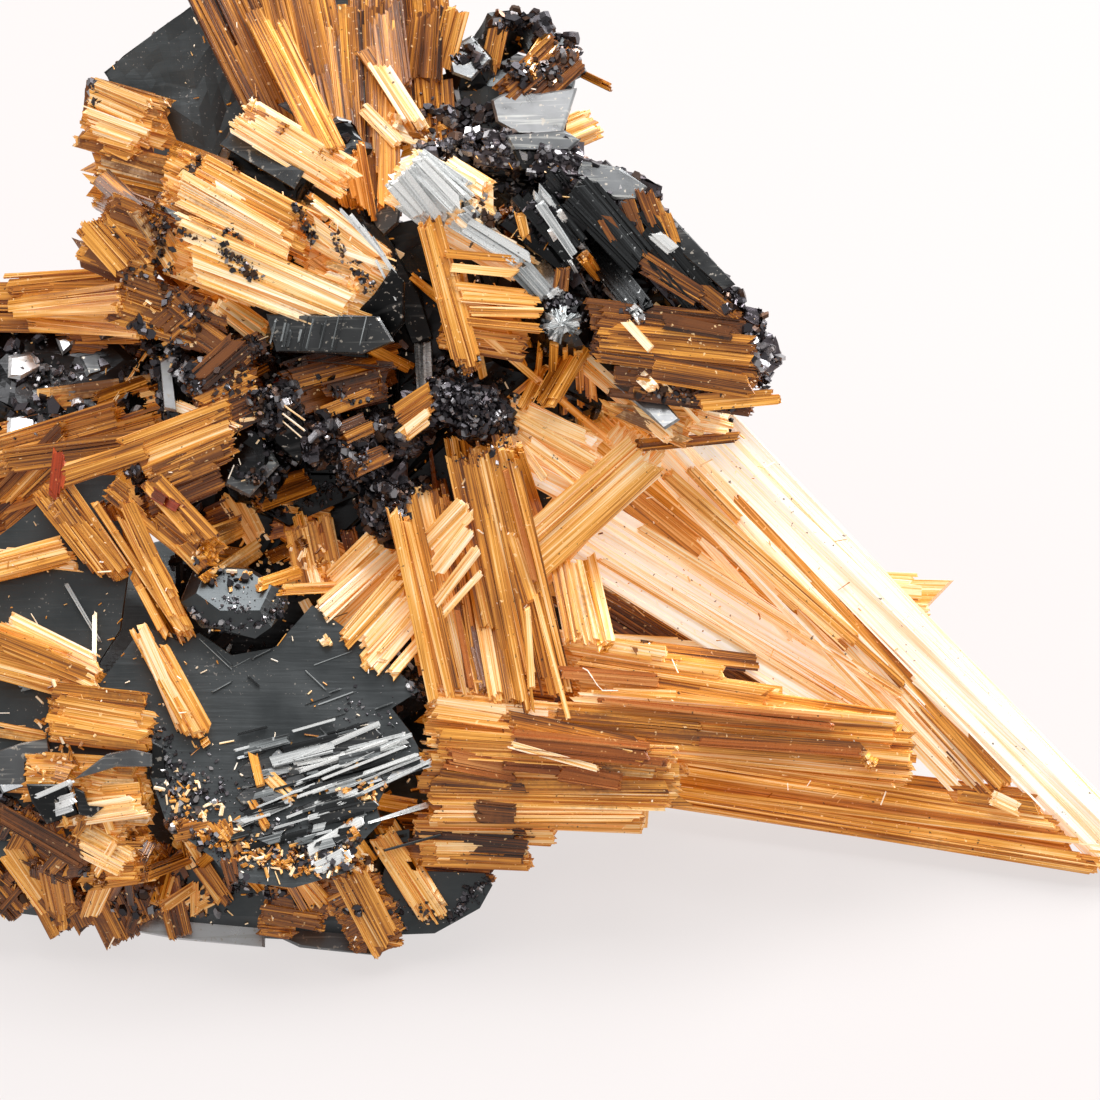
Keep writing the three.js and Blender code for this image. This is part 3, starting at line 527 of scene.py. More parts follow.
class Blocks:
    """The blocks that a sheaf is split into, across and through it. Those of one layer are shifted
    against those of the next."""

    LAYER_SHIFT = 0.37

    def __init__(self, rng, ragged):
        self.rng, self.ragged, self.made = rng, ragged, {}
        self.width, self.depth = rng.uniform(0.35, 0.6), rng.uniform(0.16, 0.3)

    def at(self, across, through):
        layer = round(through / self.depth)
        key = (round(across / self.width + self.LAYER_SHIFT * layer), layer)
        if key not in self.made:
            self.made[key] = Block(self.rng, self.ragged)
        return self.made[key]


class Laths:
    """Collects laths and makes one mesh of them, with a shade for each and lengths along it."""

    RING = ((-1, -1), (1, -1), (1, 1), (-1, 1))
    TIP_WIDTHS = (1, 1, 1, 1, 0.8, 0.4)
    OWN_SLANT = 0.35
    MOST_SLANT = 0.3
    ROLL = 0.05
    NEXT_SIDE = 0.37

    def __init__(self):
        self.points, self.faces, self.lengths, self.tints = [], [], [], []

    def add(self, start, end, wide_axis, thick_axis, width, thick, tint, rng, slants=((0, 0), (0, 0))):
        first = len(self.points)
        along = (end - start).normalized()
        roll = Matrix.Rotation(rng.gauss(0, self.ROLL), 3, along)
        wide_axis, thick_axis = roll @ wide_axis, roll @ thick_axis
        offset = rng.uniform(0, 9)
        length = (end - start).length
        most = self.MOST_SLANT * length
        for end_point, (slant_u, slant_t) in zip((start, end), slants):
            slant_u += rng.gauss(0, self.OWN_SLANT)
            slant_t += rng.gauss(0, self.OWN_SLANT)
            tip = rng.choice(self.TIP_WIDTHS)
            for u, t in self.RING:
                side_u, side_t = u * width / 2 * tip, t * thick / 2
                shift = max(-most, min(most, slant_u * side_u + slant_t * side_t))
                self.points.append(end_point + wide_axis * side_u + thick_axis * side_t + along * shift)
        n = len(self.RING)
        self.faces.append(tuple(first + i for i in reversed(range(n))))
        self.faces.append(tuple(first + n + i for i in range(n)))
        self.lengths += [(offset, offset + 0.3 * i) for i in range(n)] * 2
        for i in range(n):
            k = (i + 1) % n
            self.faces.append((first + i, first + k, first + n + k, first + n + i))
            low = offset + i * self.NEXT_SIDE
            step = width if i % 2 == 0 else thick
            self.lengths += [(0, low), (0, low + step), (length, low + step), (length, low)]
        self.tints += [tint] * (6 * n)

    def finish(self, name, material, slot, *replaced):
        made = tinted_mesh(name, self.points, self.faces, self.tints)
        uv = made.uv_layers.new(name="along")
        uv.data.foreach_set("uv", np.array(self.lengths, dtype=np.float32).reshape(-1))
        return finish_piece(name, made, material, slot, *replaced)


# How alike two directions are is the cosine between them.
ALMOST_FLAT = 0.94
ONE_WAY = 0.988
LINED_UP = 0.9986
ROUGHLY_ALONG = 0.7
SHORTEST_EDGE = 0.25
SHORTEST_SHARE = 0.22


def long_edges(points, faces):
    """The solid's sharp long edges in groups of one direction: the lines of its laths."""
    normals, owners = [], {}
    for k, face in enumerate(faces):
        a, b, c = (points[v] for v in face[:3])
        cross = np.cross(b - a, c - a)
        size = np.linalg.norm(cross)
        normals.append((cross / size if size > 1e-9 else np.zeros(3), size / 2))
        for i, v in enumerate(face):
            w = face[(i + 1) % len(face)]
            owners.setdefault((min(v, w), max(v, w)), []).append(k)
    edges = []
    for (v, w), sides in owners.items():
        side_normals = [normals[side][0] for side in sides]
        if len(sides) == 2 and abs(np.dot(*side_normals)) > ALMOST_FLAT:
            continue
        step = points[w] - points[v]
        size = np.linalg.norm(step)
        if size > SHORTEST_EDGE:
            edges.append((size, step / size, points[v], points[w]))
    edges.sort(key=lambda edge: -edge[0])

    def total_along(direction, limit):
        return sum(e[0] for e in edges if abs(np.dot(e[1], direction)) > limit)

    main = max((e[1] for e in edges[:14]), key=lambda d: total_along(d, LINED_UP))
    shortest = SHORTEST_SHARE * edges[0][0]
    lined = [e for e in edges if abs(np.dot(e[1], main)) > ROUGHLY_ALONG and e[0] > shortest]
    groups = []
    for size, direction, start, end in lined:
        if np.dot(direction, main) < 0:
            direction, start, end = -direction, end, start
        for group in groups:
            if abs(np.dot(group[0][1], direction)) > ONE_WAY:
                group.append((size, direction, start, end))
                break
        else:
            groups.append([(size, direction, start, end)])
    whole = sum(e[0] for e in lined)
    return [g for g in groups if sum(e[0] for e in g) > 0.1 * whole], normals


def stretches_inside(tree, start, way, reach):
    """The stretches of a straight line that lie inside a solid."""
    spot, entry, travelled = start, None, 0.0
    while travelled < reach:
        hit, normal, _, distance = tree.ray_cast(spot, way, reach - travelled)
        if hit is None:
            return
        travelled += distance + 1e-4
        spot = hit + way * 1e-4
        if normal.dot(way) < 0:
            entry = hit
        elif entry is not None:
            yield entry, hit
            entry = None


LATH_SHARES = (0.5, 0.6, 0.8, 1.1, 1.7, 2.6, 3.8)


def cells(low_u, high_u, low_t, high_t, size, rng):
    """Splits a cross-section into cells about `size` across: their middles, widths and depths."""
    u = low_u - 0.02
    while u < high_u:
        width = size * rng.choice(LATH_SHARES)
        t = low_t - rng.uniform(0, 0.1)
        while t < high_t:
            thick = min(width, size) * rng.uniform(0.7, 1.2)
            yield u + width / 2, t + thick / 2, width, thick
            t += thick
        u += width


# Fine laths fill the outermost SKIN mm of a sheaf, coarse ones its core. Each is a little wider
# than its cell, so that no gap shows between neighbours. Some break off well before the others.
SKIN = 0.3
CORE_LATH = 0.5
SHORTEST_LATH = 0.12
OVERLAP = 1.04
DIRT_SHARES = (0.5, 0.8, 1.0, 1.2)
STEP_BACK = 0.35
LONGEST_STEP = 1.5
BROKEN_SHARE = 0.1
BROKEN_OFF = 0.4


def fill_with_laths(laths, name, fineness, look, seed, ragged=1.0, short_right=0.0):
    """Fills a node's solid with laths, `fineness` mm across at the outside and coarse within. Their
    right ends stop `short_right` mm inside the solid."""
    shade, spread, stain = look
    rng = random.Random(seed)
    points, faces = corners_and_faces(name)
    tree = BVHTree.FromPolygons([Vector(p) for p in points], faces)
    groups, normals = long_edges(points, faces)
    for group in groups:
        weight = np.array([e[0] for e in group])
        direction = np.average([e[1] for e in group], axis=0, weights=weight)
        direction /= np.linalg.norm(direction)
        flats = {}
        for normal, area in normals:
            if abs(np.dot(normal, direction)) < 0.12 and area > 0:
                upright = normal[np.argmax(np.abs(normal))] > 0
                key = tuple(np.round(normal if upright else -normal, 1))
                flats[key] = flats.get(key, 0) + area
        facing = np.array(max(flats, key=flats.get)) if flats else np.array([0, 0, 1.0])
        facing -= direction * np.dot(facing, direction)
        facing /= np.linalg.norm(facing)
        across = np.cross(facing, direction)
        ends = np.array([p for e in group for p in (e[2], e[3])])
        span_d, span_u, span_t = (((ends @ axis).min(), (ends @ axis).max())
                                  for axis in (direction, across, facing))
        middle, half = sum(span_d) / 2, (span_d[1] - span_d[0]) / 2 + 0.6
        edge_at, edge_way = [], []
        for _, way, start, end in group:
            to_middle = (middle - np.dot(start, direction)) / np.dot(way, direction)
            at = start + way * to_middle
            edge_at.append((np.dot(at, across), np.dot(at, facing)))
            edge_way.append(way)
        edge_at = np.array(edge_at)
        wide_axis, thick_axis = Vector(across), Vector(facing)
        blocks = Blocks(rng, ragged)
        for size, core in ((fineness, False), (CORE_LATH, True)):
            for u, t, width, thick in cells(*span_u, *span_t, size, rng):
                nearest = np.argmin(((edge_at - (u, t)) ** 2).sum(axis=1))
                way = Vector(edge_way[nearest])
                line_start = Vector(direction * middle + across * u + facing * t) - way * half
                for entry, leaving in stretches_inside(tree, line_start, way, 2 * half):
                    length = (leaving - entry).length
                    depth = min(tree.find_nearest(entry.lerp(leaving, share))[3]
                                for share in (0.2, 0.5, 0.8))
                    if length < SHORTEST_LATH or (depth > SKIN) != core:
                        continue
                    block = blocks.at(u, t)
                    loss = min(STEP_BACK * length, LONGEST_STEP)
                    start = entry + way * (block.losses[0] * loss + rng.uniform(-0.1, 0.1))
                    end = leaving - way * (block.losses[1] * loss + rng.uniform(-0.1, 0.1))
                    if rng.random() < BROKEN_SHARE * ragged:
                        start += way * length * rng.uniform(0, BROKEN_OFF)
                    elif rng.random() < BROKEN_SHARE * ragged:
                        end -= way * length * rng.uniform(0, BROKEN_OFF)
                    if way.x > 0:
                        end -= way * short_right
                    else:
                        start += way * short_right
                    if (end - start).dot(way) < 0.1:
                        continue
                    lift = thick_axis * (block.level + rng.uniform(-0.012, 0.012))
                    tone = shade + spread * (0.5 * block.tone + 0.5 * rng.uniform(-1, 1))
                    # painted shade: laths that lie deeper inside the sheaf are painted darker
                    tone -= 0.3 * min(depth, 0.5)
                    dirt = stain * rng.choice(DIRT_SHARES)
                    lift_end = lift + wide_axis * block.turn * length
                    laths.add(start + lift, end + lift_end, wide_axis, thick_axis, width * OVERLAP,
                              thick * OVERLAP, (tone, rng.random(), dirt, 1), rng, block.slants)


def fill_nodes(rows):
    """Makes the laths of each (node, fineness, look) and lets them stand for the node."""
    for number, (name, fineness, look, *more) in enumerate(rows):
        laths, settings = Laths(), more[0] if more else {}
        fill_with_laths(laths, name, fineness, look, number + sum(map(ord, name)), **settings)
        laths.finish(name + "_laths", RUTILE, NODE_SLOTS[name], name)


def lay_sheaf(laths, start, end, width, look, seed, lift, thick=0.36, fineness=0.09, ragged=1.0):
    """Lays a sheaf of laths `lift` mm above the specimen, from one seen (right, up) to another.
    Where a third number is given, it is how near to the viewer that end is."""
    rng = random.Random(seed)
    shade, spread, stain = look
    nears = [place[2] if len(place) == 3 else landing(*place)[0] for place in (start, end)]
    known = [near for near in nears if near is not None] or [0.0]
    nears = [known[0] if near is None else near for near in nears]
    a, b = (seen(place[0], place[1], near + (lift if len(place) == 2 else 0))
            for place, near in zip((start, end), nears))
    along = (b - a).normalized()
    facing = (TOWARDS_VIEWER - along * TOWARDS_VIEWER.dot(along)).normalized()
    across = facing.cross(along)
    length = (b - a).length
    loss = min(0.3 * length, 1.0)
    blocks = Blocks(rng, ragged)
    skews = [min(ragged, 1) * rng.gauss(0, 0.4) for _ in range(2)]
    splay = rng.uniform(-0.25, 0.1)
    for u, t, lath_width, lath_thick in cells(-width / 2, width / 2, 0.0, thick, fineness, rng):
        block = blocks.at(u, t)
        begins, ends = (block.losses[k] * loss + skews[k] * u + rng.uniform(-0.08, 0.08)
                        for k in range(2))
        # painted shade: the lower layers of the sheaf are painted darker
        tone = shade + spread * (0.5 * block.tone + 0.5 * rng.uniform(-1, 1)) - 0.2 * t
        level = facing * (block.level - t)
        turned = u * (1 + splay) + block.turn * length
        dirt = stain * rng.choice(DIRT_SHARES)
        laths.add(a + across * u + level + along * begins, b + across * turned + level - along * ends,
                  across, facing, lath_width * OVERLAP, lath_thick * OVERLAP,
                  (tone, rng.random(), dirt, 1), rng, block.slants)


def lay_all(name, material, slot, rows):
    """Lays a sheaf for each (start, end, width, look, lift), some with more settings."""
    laths = Laths()
    for number, (start, end, width, look, lift, *more) in enumerate(rows):
        settings = more[0] if more else {}
        lay_sheaf(laths, start, end, width, look, sum(map(ord, name)) + number, lift=lift, **settings)
    laths.finish(name, material, slot)


class Facets:
    """Collects flat faces of hematite, each painted lighter or darker as painted reflection and shade:
    thin plates with sloping rims.
    """

    def __init__(self):
        self.points, self.faces, self.tints = [], [], []

    def add(self, outline, tone, lean=(0.0, 0.0), lift=0.2, thick=0.9, rim=0.12, near=None):
        """The plate comes nearer to the viewer by lean[0] for each mm to the right and by lean[1]
        for each mm upwards. Its middle lies `lift` mm above what is there, or at `near`."""
        n, first = len(outline), len(self.points)
        middle_r, middle_u = (sum(point[k] for point in outline) / n for k in range(2))
        if near is None:
            nears = [landing(*point)[0] for point in outline + ((middle_r, middle_u),)]
            near = sorted(value for value in nears if value is not None)[len(nears) // 2 - 1] + lift
        for inset, level in ((rim, 0.0), (0.0, -rim * 0.8), (0.0, -thick)):
            for right, up in outline:
                away = Vector((right - middle_r, up - middle_u))
                away *= max(0.2, 1 - inset / away.length)
                depth = near + lean[0] * away.x + lean[1] * away.y + level
                self.points.append(seen(middle_r + away.x, middle_u + away.y, depth))
        self.faces.append(tuple(first + k for k in reversed(range(n))))
        for ring in (first, first + n):
            self.faces += [(ring + k, ring + (k + 1) % n, ring + n + (k + 1) % n, ring + n + k)
                           for k in range(n)]
        self.faces.append(tuple(first + 2 * n + k for k in range(n)))
        self.tints += [(tone, 0.5, 0.0, 1)] * (10 * n)

    def finish(self, name, material, slot):
        mesh = tinted_mesh(name, self.points, self.faces, self.tints)
        return finish_piece(name, mesh, material, slot)


NODE_SLOTS = {part["node"]: part["material_slot"] for part in frame["record"]["subparts"]}
# A look is a shade, from 0, nearly black, to 1, nearly white; how far the laths' shades spread
# around it; and how stained they are.
CREAM = (0.84, 0.2, 0.3)
TAN = (0.70, 0.24, 0.5)
GOLDEN = (0.56, 0.24, 0.35)
ORANGE = (0.43, 0.22, 0.4)
BROWN = (0.26, 0.22, 0.7)
DARK = (0.08, 0.16, 0.9)
DULL = (0.56, 0.24, 0.8)

fill_nodes((
    ("rutile_left_crest", 0.09, CREAM),
    ("rutile_left_shelf", 0.09, (0.62, 0.28, 0.6)),
    ("rutile_left_face", 0.09, (0.76, 0.24, 0.6), {"ragged": 1.5, "short_right": 0.7}),
    ("rutile_left_end", 0.10, (0.38, 0.24, 0.8)),
    ("rutile_left_rising", 0.09, (0.18, 0.2, 0.85)),
    ("rutile_left_lower", 0.09, (0.36, 0.24, 0.85)),
))
lay_all("rutile_left_details", RUTILE, "rutile_pale", (
    ((-12.3, 17.4), (-8.4, 14.8), 1.3, CREAM, 0.15),
    ((-12.2, 17.6), (-10.6, 16.8), 0.5, ORANGE, 0.2, {"thick": 0.15}),
    ((-13.5, 15.8), (-9.9, 13.9), 0.6, TAN, 0.15),
    ((-14.0, 15.2), (-10.1, 13.1), 1.2, GOLDEN, 0.3),
    ((-13.8, 14.9), (-10.2, 12.9), 0.3, CREAM, 0.4),
    ((-14.8, 14.3), (-10.4, 12.0), 1.1, TAN, 0.3),
    ((-14.4, 12.0), (-8.2, 9.4), 2.2, (0.76, 0.24, 0.6), 0.3, {"fineness": 0.12}),
    ((-9.9, 13.9), (-6.0, 11.8), 0.35, CREAM, 0.3),
    ((-10.0, 13.4), (-7.1, 11.2), 0.6, CREAM, 0.2, {"ragged": 2.5}),
    ((-9.6, 12.4), (-6.7, 10.7), 0.4, CREAM, 0.2, {"ragged": 2.5}),
    ((-10.3, 11.9), (-7.7, 10.6), 0.5, CREAM, 0.3),
    ((-8.8, 12.7), (-6.2, 11.5), 0.12, CREAM, 0.4, {"thick": 0.1}),
    ((-8.6, 12.0), (-6.3, 11.1), 0.12, CREAM, 0.4, {"thick": 0.1}),
    ((-8.2, 11.5), (-6.0, 10.3), 0.12, CREAM, 0.3, {"thick": 0.1}),
    ((-14.1, 10.4), (-11.5, 8.6), 0.9, TAN, 0.2),
    ((-18.4, 13.1), (-16.9, 11.4), 1.3, ORANGE, 0.2),
    ((-17.6, 13.4), (-16.0, 11.5), 0.9, DULL, 0.1),
    ((-17.6, 10.4), (-15.7, 9.0), 1.1, ORANGE, 0.1),
    ((-16.2, 13.4), (-15.0, 11.5), 1.0, DULL, 0.15),
    ((-16.0, 12.0), (-14.4, 10.4), 0.8, BROWN, 0.15),
    ((-15.4, 8.8), (-14.0, 10.0), 1.0, BROWN, 0.15),
    ((-16.0, 8.2), (-12.4, 8.7), 1.0, DARK, 0.1),
    ((-14.0, 6.3), (-11.4, 7.6), 1.0, BROWN, 0.2),
    ((-13.8, 5.8), (-11.7, 6.8), 0.5, ORANGE, 0.2),
    ((-10.7, 7.1), (-7.0, 8.2), 0.7, DARK, 0.2),
    ((-10.6, 6.5), (-6.2, 7.8), 1.0, BROWN, 0.2),
    ((-10.0, 5.8), (-6.2, 7.1), 0.9, DARK, 0.2),
    ((-9.0, 5.5), (-7.1, 6.2), 0.5, ORANGE, 0.2),
    ((-15.0, 5.8), (-12.6, 4.8), 0.4, CREAM, 0.1),
    ((-16.5, 3.5), (-12.7, 5.0), 2.3, (0.46, 0.26, 0.5), 0.2),
    ((-16.0, 2.7), (-12.9, 3.9), 1.0, BROWN, 0.3),
    ((-11.7, 2.0), (-9.6, 2.8), 1.0, BROWN, 0.3),
    ((-14.6, 4.8), (-12.9, 5.5), 0.7, BROWN, 0.3),
    ((-14.2, 8.8), (-12.4, 7.5), 0.9, BROWN, 0.2),
    ((-15.1, 10.0), (-14.0, 9.0), 0.8, BROWN, 0.2),
    ((-7.4, 8.1), (-5.4, 7.2), 0.3, GOLDEN, 0.4),
    ((-6.1, 5.0), (-4.7, 6.0), 0.8, ORANGE, 0.3),
    ((-5.8, 4.5), (-4.9, 5.2), 0.4, TAN, 0.3),
    ((-8.4, 4.4), (-7.1, 5.0), 0.9, BROWN, 0.3),
    ((-8.0, 3.2), (-6.4, 3.9), 0.8, BROWN, 0.3),
    ((-13.0, 2.3), (-11.9, 0.4), 0.9, (0.72, 0.34, 0.5), 0.3),
    ((-13.8, 1.2), (-12.6, 1.7), 1.0, BROWN, 0.2),
    ((-13.6, 0.4), (-12.4, 0.9), 0.8, DULL, 0.2),
    ((-10.8, 2.0), (-8.8, 1.7), 0.9, DULL, 0.2),
    ((-10.6, 0.9), (-8.3, -0.4), 0.8, GOLDEN, 0.2),
    ((-11.5, -0.4), (-10.0, 0.2), 0.5, BROWN, 0.2),
    ((-13.8, -0.2), (-12.0, -0.4), 0.4, BROWN, 0.2),
    ((-14.8, 0.2), (-13.8, -0.8), 0.5, DULL, 0.2),
    ((-11.2, 0.8), (-9.5, 1.2), 0.7, BROWN, 0.2),
    ((-13.4, -1.1), (-11.7, 0.1), 0.7, DULL, 0.35),
    ((-11.5, -1.4), (-10.0, -0.9), 0.4, GOLDEN, 0.3),
    ((-14.0, 6.8), (-12.3, 8.3), 1.0, DARK, 0.35),
    ((-13.2, 9.8), (-11.5, 8.6), 0.8, CREAM, 0.35),
    ((-14.2, 9.3), (-13.1, 10.0), 0.9, ORANGE, 0.3),
    ((-10.5, 5.7), (-9.8, 5.2), 0.03, CREAM, 0.75, {"thick": 0.04, "fineness": 0.02}),
    ((-10.6, 5.4), (-9.8, 4.8), 0.03, CREAM, 0.75, {"thick": 0.04, "fineness": 0.02}),
    ((-10.6, 5.1), (-9.9, 4.5), 0.03, CREAM, 0.75, {"thick": 0.04, "fineness": 0.02}),
))
frame["nodes"]["hematite_crust_middle"].material_slots[0].material = UNDER_CRUST
roughen("hematite_crust_middle", 3, 0.4, 0.6, 0.12)
crystals = Tablets()
crust_over(crystals, "hematite_crust_middle", 900, 0.34, 12, brown=0.35)
# the glossy core in the middle of the front, with bright glints
crust_patches(crystals, (
    (((-4.8, 6.8), (-3.2, 6.0), (-2.0, 4.8)), 1.5, 900, 0.2, 21, 0.02, 0.34, 0.12),
    # the dark ridge below the left cluster, and smaller patches along its lower left side
    (((-12.0, 7.6), (-9.0, 6.0), (-6.8, 4.9), (-5.6, 4.4)), 0.8, 420, 0.28, 22, 0.35, 0.35, 0.12),
    (((-8.6, 4.0), (-7.4, 2.5), (-6.3, 1.1)), 0.8, 360, 0.28, 23, 0.35, 0.35, 0.12),
    (((-14.9, 8.2), (-14.1, 6.4)), 0.55, 300, 0.26, 24, 0.15, 0.4, 0.2),
    (((-16.3, 9.0), (-16.1, 7.1), (-15.7, 5.5)), 0.45, 320, 0.26, 25, 0.2, 0.3, 0.1),
    (((-11.6, 5.4), (-10.0, 3.6)), 0.9, 240, 0.26, 26, 0.1, 0.5, 0),
    (((-16.6, 3.2), (-16.4, 2.4)), 0.3, 40, 0.24, 27, 0.4, 0.35, 0),
    (((-14.4, 15.0), (-13.4, 16.0)), 0.3, 80, 0.2, 28, 0.5, 0.35, 0),
    (((-15.6, 13.8), (-15.2, 10.0)), 0.5, 200, 0.2, 29, 0.6, 0.35, 0.1),
    (((-15.0, 12.6), (-13.4, 12.4), (-12.0, 12.7)), 0.25, 120, 0.16, 60, 0.6, 0.35, 0.3),
    (((-13.1, 12.0), (-12.4, 11.3), (-11.7, 10.7)), 0.35, 170, 0.17, 63, 0.4, 0.35, 0.35),
    (((-14.8, 10.0), (-13.4, 8.8), (-11.5, 8.0)), 0.4, 200, 0.2, 64, 0.5, 0.35, 0.2),
    (((-14.0, 7.1), (-11.5, 6.0), (-10.6, 5.2)), 0.7, 300, 0.22, 65, 0.3, 0.35, 0.25),
    (((-8.8, 13.0), (-8.2, 11.5)), 0.2, 50, 0.15, 66, 0.6, 0.35, 0.35),
    (((-10.1, 13.8), (-9.5, 12.2)), 0.25, 90, 0.18, 68, 0.5, 0.35, 0.35),
    (((-7.9, 11.5), (-7.1, 10.3)), 0.25, 70, 0.16, 69, 0.2, 0.35, 0.3),
    (((-12.4, 3.0), (-10.0, 2.0), (-7.6, 2.8)), 0.6, 220, 0.2, 67, 0.4, 0.35, 0.2),
    (((-13.1, 11.5), (-12.0, 11.5)), 0.3, 50, 0.2, 30, 0.6, 0.35, 0),
    (((-17.6, 12.8), (-16.4, 10.4)), 0.5, 80, 0.18, 20, 0.7, 0.35, 0),
    (((-11.7, 8.4), (-11.1, 6.4), (-9.5, 5.5)), 0.35, 280, 0.22, 72, 0.6, 0.35, 0.3),
    (((-7.1, 2.9), (-6.0, 2.0), (-4.7, 2.9)), 0.45, 220, 0.24, 73, 0.4, 0.35, 0.3),
    (((-16.6, 3.2), (-16.2, 2.5)), 0.3, 90, 0.24, 74, 0.3, 0.3, 0.2),
))
crystals.finish("hematite_left_crystals", CRUST, "hematite_crust")


PALE_DUST = (0.42, 0.38, 0.33, 1)


def facet_material():
    """Smooth metallic faces, each painted its own brightness as painted reflection and shade, with fine
    lines and specks of dust.
    """
    material, shader = plain_material("bright hematite faces", (0.3, 0.3, 0.31, 1), 0.25)
    nodes, links = material.node_tree.nodes, material.node_tree.links
    shader.inputs["Metallic"].default_value = 0.85
    tint = shader_node(nodes, "ShaderNodeAttribute", attribute_name="tint")
    parts = shader_node(nodes, "ShaderNodeSeparateColor")
    links.new(tint.outputs["Color"], parts.inputs["Color"])
    place = shader_node(nodes, "ShaderNodeTexCoord").outputs["Object"]
    lines_map = shader_node(nodes, "ShaderNodeMapping",
                            Rotation=(0, 0, math.radians(80)), Scale=(300, 9000, 300))
    links.new(place, lines_map.inputs["Vector"])
    lines = noise_at(nodes, links, lines_map.outputs["Vector"], 1.0, 4.0)
    # each face's tone is painted reflection and shade: near black for a dark reflection, pale for the
    # light
    tone = colour_ramp(nodes, links, parts.outputs["Red"], (0.0, (0.01, 0.0105, 0.011, 1)),
                       (0.5, (0.16, 0.165, 0.17, 1)), (1.0, (0.62, 0.62, 0.63, 1)))
    cloud = noise_at(nodes, links, place, 900.0, 5.0)
    dust = noise_at(nodes, links, place, 5200.0, 2.0)
    line_at = colour_ramp(nodes, links, lines, (0.56, grey(0)), (0.66, grey(0.7)))
    dust_at = colour_ramp(nodes, links, dust, (0.64, grey(0)), (0.69, grey(0.9)))
    line_tone = colour_ramp(nodes, links, parts.outputs["Red"], (0.0, (0.05, 0.05, 0.05, 1)),
                            (0.5, (0.42, 0.42, 0.4, 1)))
    lined = mixed_colour(nodes, links, line_at, tone, line_tone)
    dusty = mixed_colour(nodes, links, dust_at, lined, PALE_DUST)
    links.new(dusty, shader.inputs["Base Color"])
    links.new(spread_value(nodes, links, cloud, 0.05, 0.65), shader.inputs["Roughness"])
    bump = shader_node(nodes, "ShaderNodeBump", Strength=0.5, Distance=0.00004)
    links.new(cloud, bump.inputs["Height"])
    links.new(bump.outputs["Normal"], shader.inputs["Normal"])
    return material


FACES_PAINTED_LIGHT_AND_DARK = facet_material()


def lay_faces(name, rows):
    """Makes hematite faces from outlines, tones (painted reflection and shade), leans and lifts, some
    with more settings.
    """
    faces = Facets()
    for outline, tone, lean, lift, *more in rows:
        faces.add(outline, tone, lean, lift, **(more[0] if more else {}))
    faces.finish(name, FACES_PAINTED_LIGHT_AND_DARK, "hematite")


lay_faces("hematite_left_faces", (
    (((-12.7, 16.7), (-13.2, 16.2), (-10.2, 14.4), (-9.8, 15.1)), 0.22, (0.0, -0.3), 0.9,
     {"thick": 1.5}),
    (((-15.8, 14.0), (-15.0, 14.6), (-14.8, 14.4), (-14.9, 13.3), (-15.4, 13.3)), 0.5, (0.1, -0.4),
     0.3),
    (((-11.3, 9.4), (-8.8, 9.4), (-6.8, 9.3), (-6.2, 8.3), (-7.5, 7.8), (-10.9, 7.9)), 0.16,
     (0.0, -0.08), 0.2, {"thick": 1.8, "near": 1.9}),
    (((-7.8, 9.4), (-7.0, 10.2), (-6.3, 11.2), (-5.8, 10.7), (-5.8, 9.1), (-6.3, 8.5), (-7.0, 9.1)),
     0.0, (0.1, 0.5), 0.2, {"thick": 1.8, "near": 1.6}),
    (((-15.6, 7.6), (-15.2, 7.8), (-14.9, 5.5), (-15.4, 5.6)), 0.8, (0.2, -0.3), 0.6),
    (((-13.0, 2.6), (-12.4, 4.4), (-11.5, 4.7), (-10.8, 3.4), (-12.0, 2.1)), 0.38, (0.1, -0.3),
     0.75),
    (((-11.5, 5.6), (-10.2, 5.9), (-9.5, 4.4), (-10.0, 3.4), (-11.0, 4.2)), 0.0, (0.1, 0.4), 0.55),
    (((-5.4, 7.5), (-4.9, 7.6), (-4.7, 6.2), (-5.3, 6.0)), 0.3, (0.0, -0.3), 0.2),
    (((-11.0, 18.0), (-10.2, 18.3), (-9.5, 17.7), (-9.1, 16.6), (-10.0, 17.3)), 0.4, (0.0, -0.4),
     0.3),
    (((-7.1, 12.6), (-6.2, 12.0), (-5.2, 10.3), (-4.7, 8.5), (-5.5, 8.2), (-6.3, 10.0)), 0.05,
     (0.0, 0.0), 0.5),
    (((-6.6, 10.0), (-5.6, 9.3), (-5.3, 7.9), (-6.0, 8.0)), 0.1, (0.3, 0.1), 0.3),
    (((-14.6, 5.2), (-12.7, 5.0), (-12.6, 4.6), (-14.0, 4.6)), 0.3, (0.0, 0.0), 0.3),
))

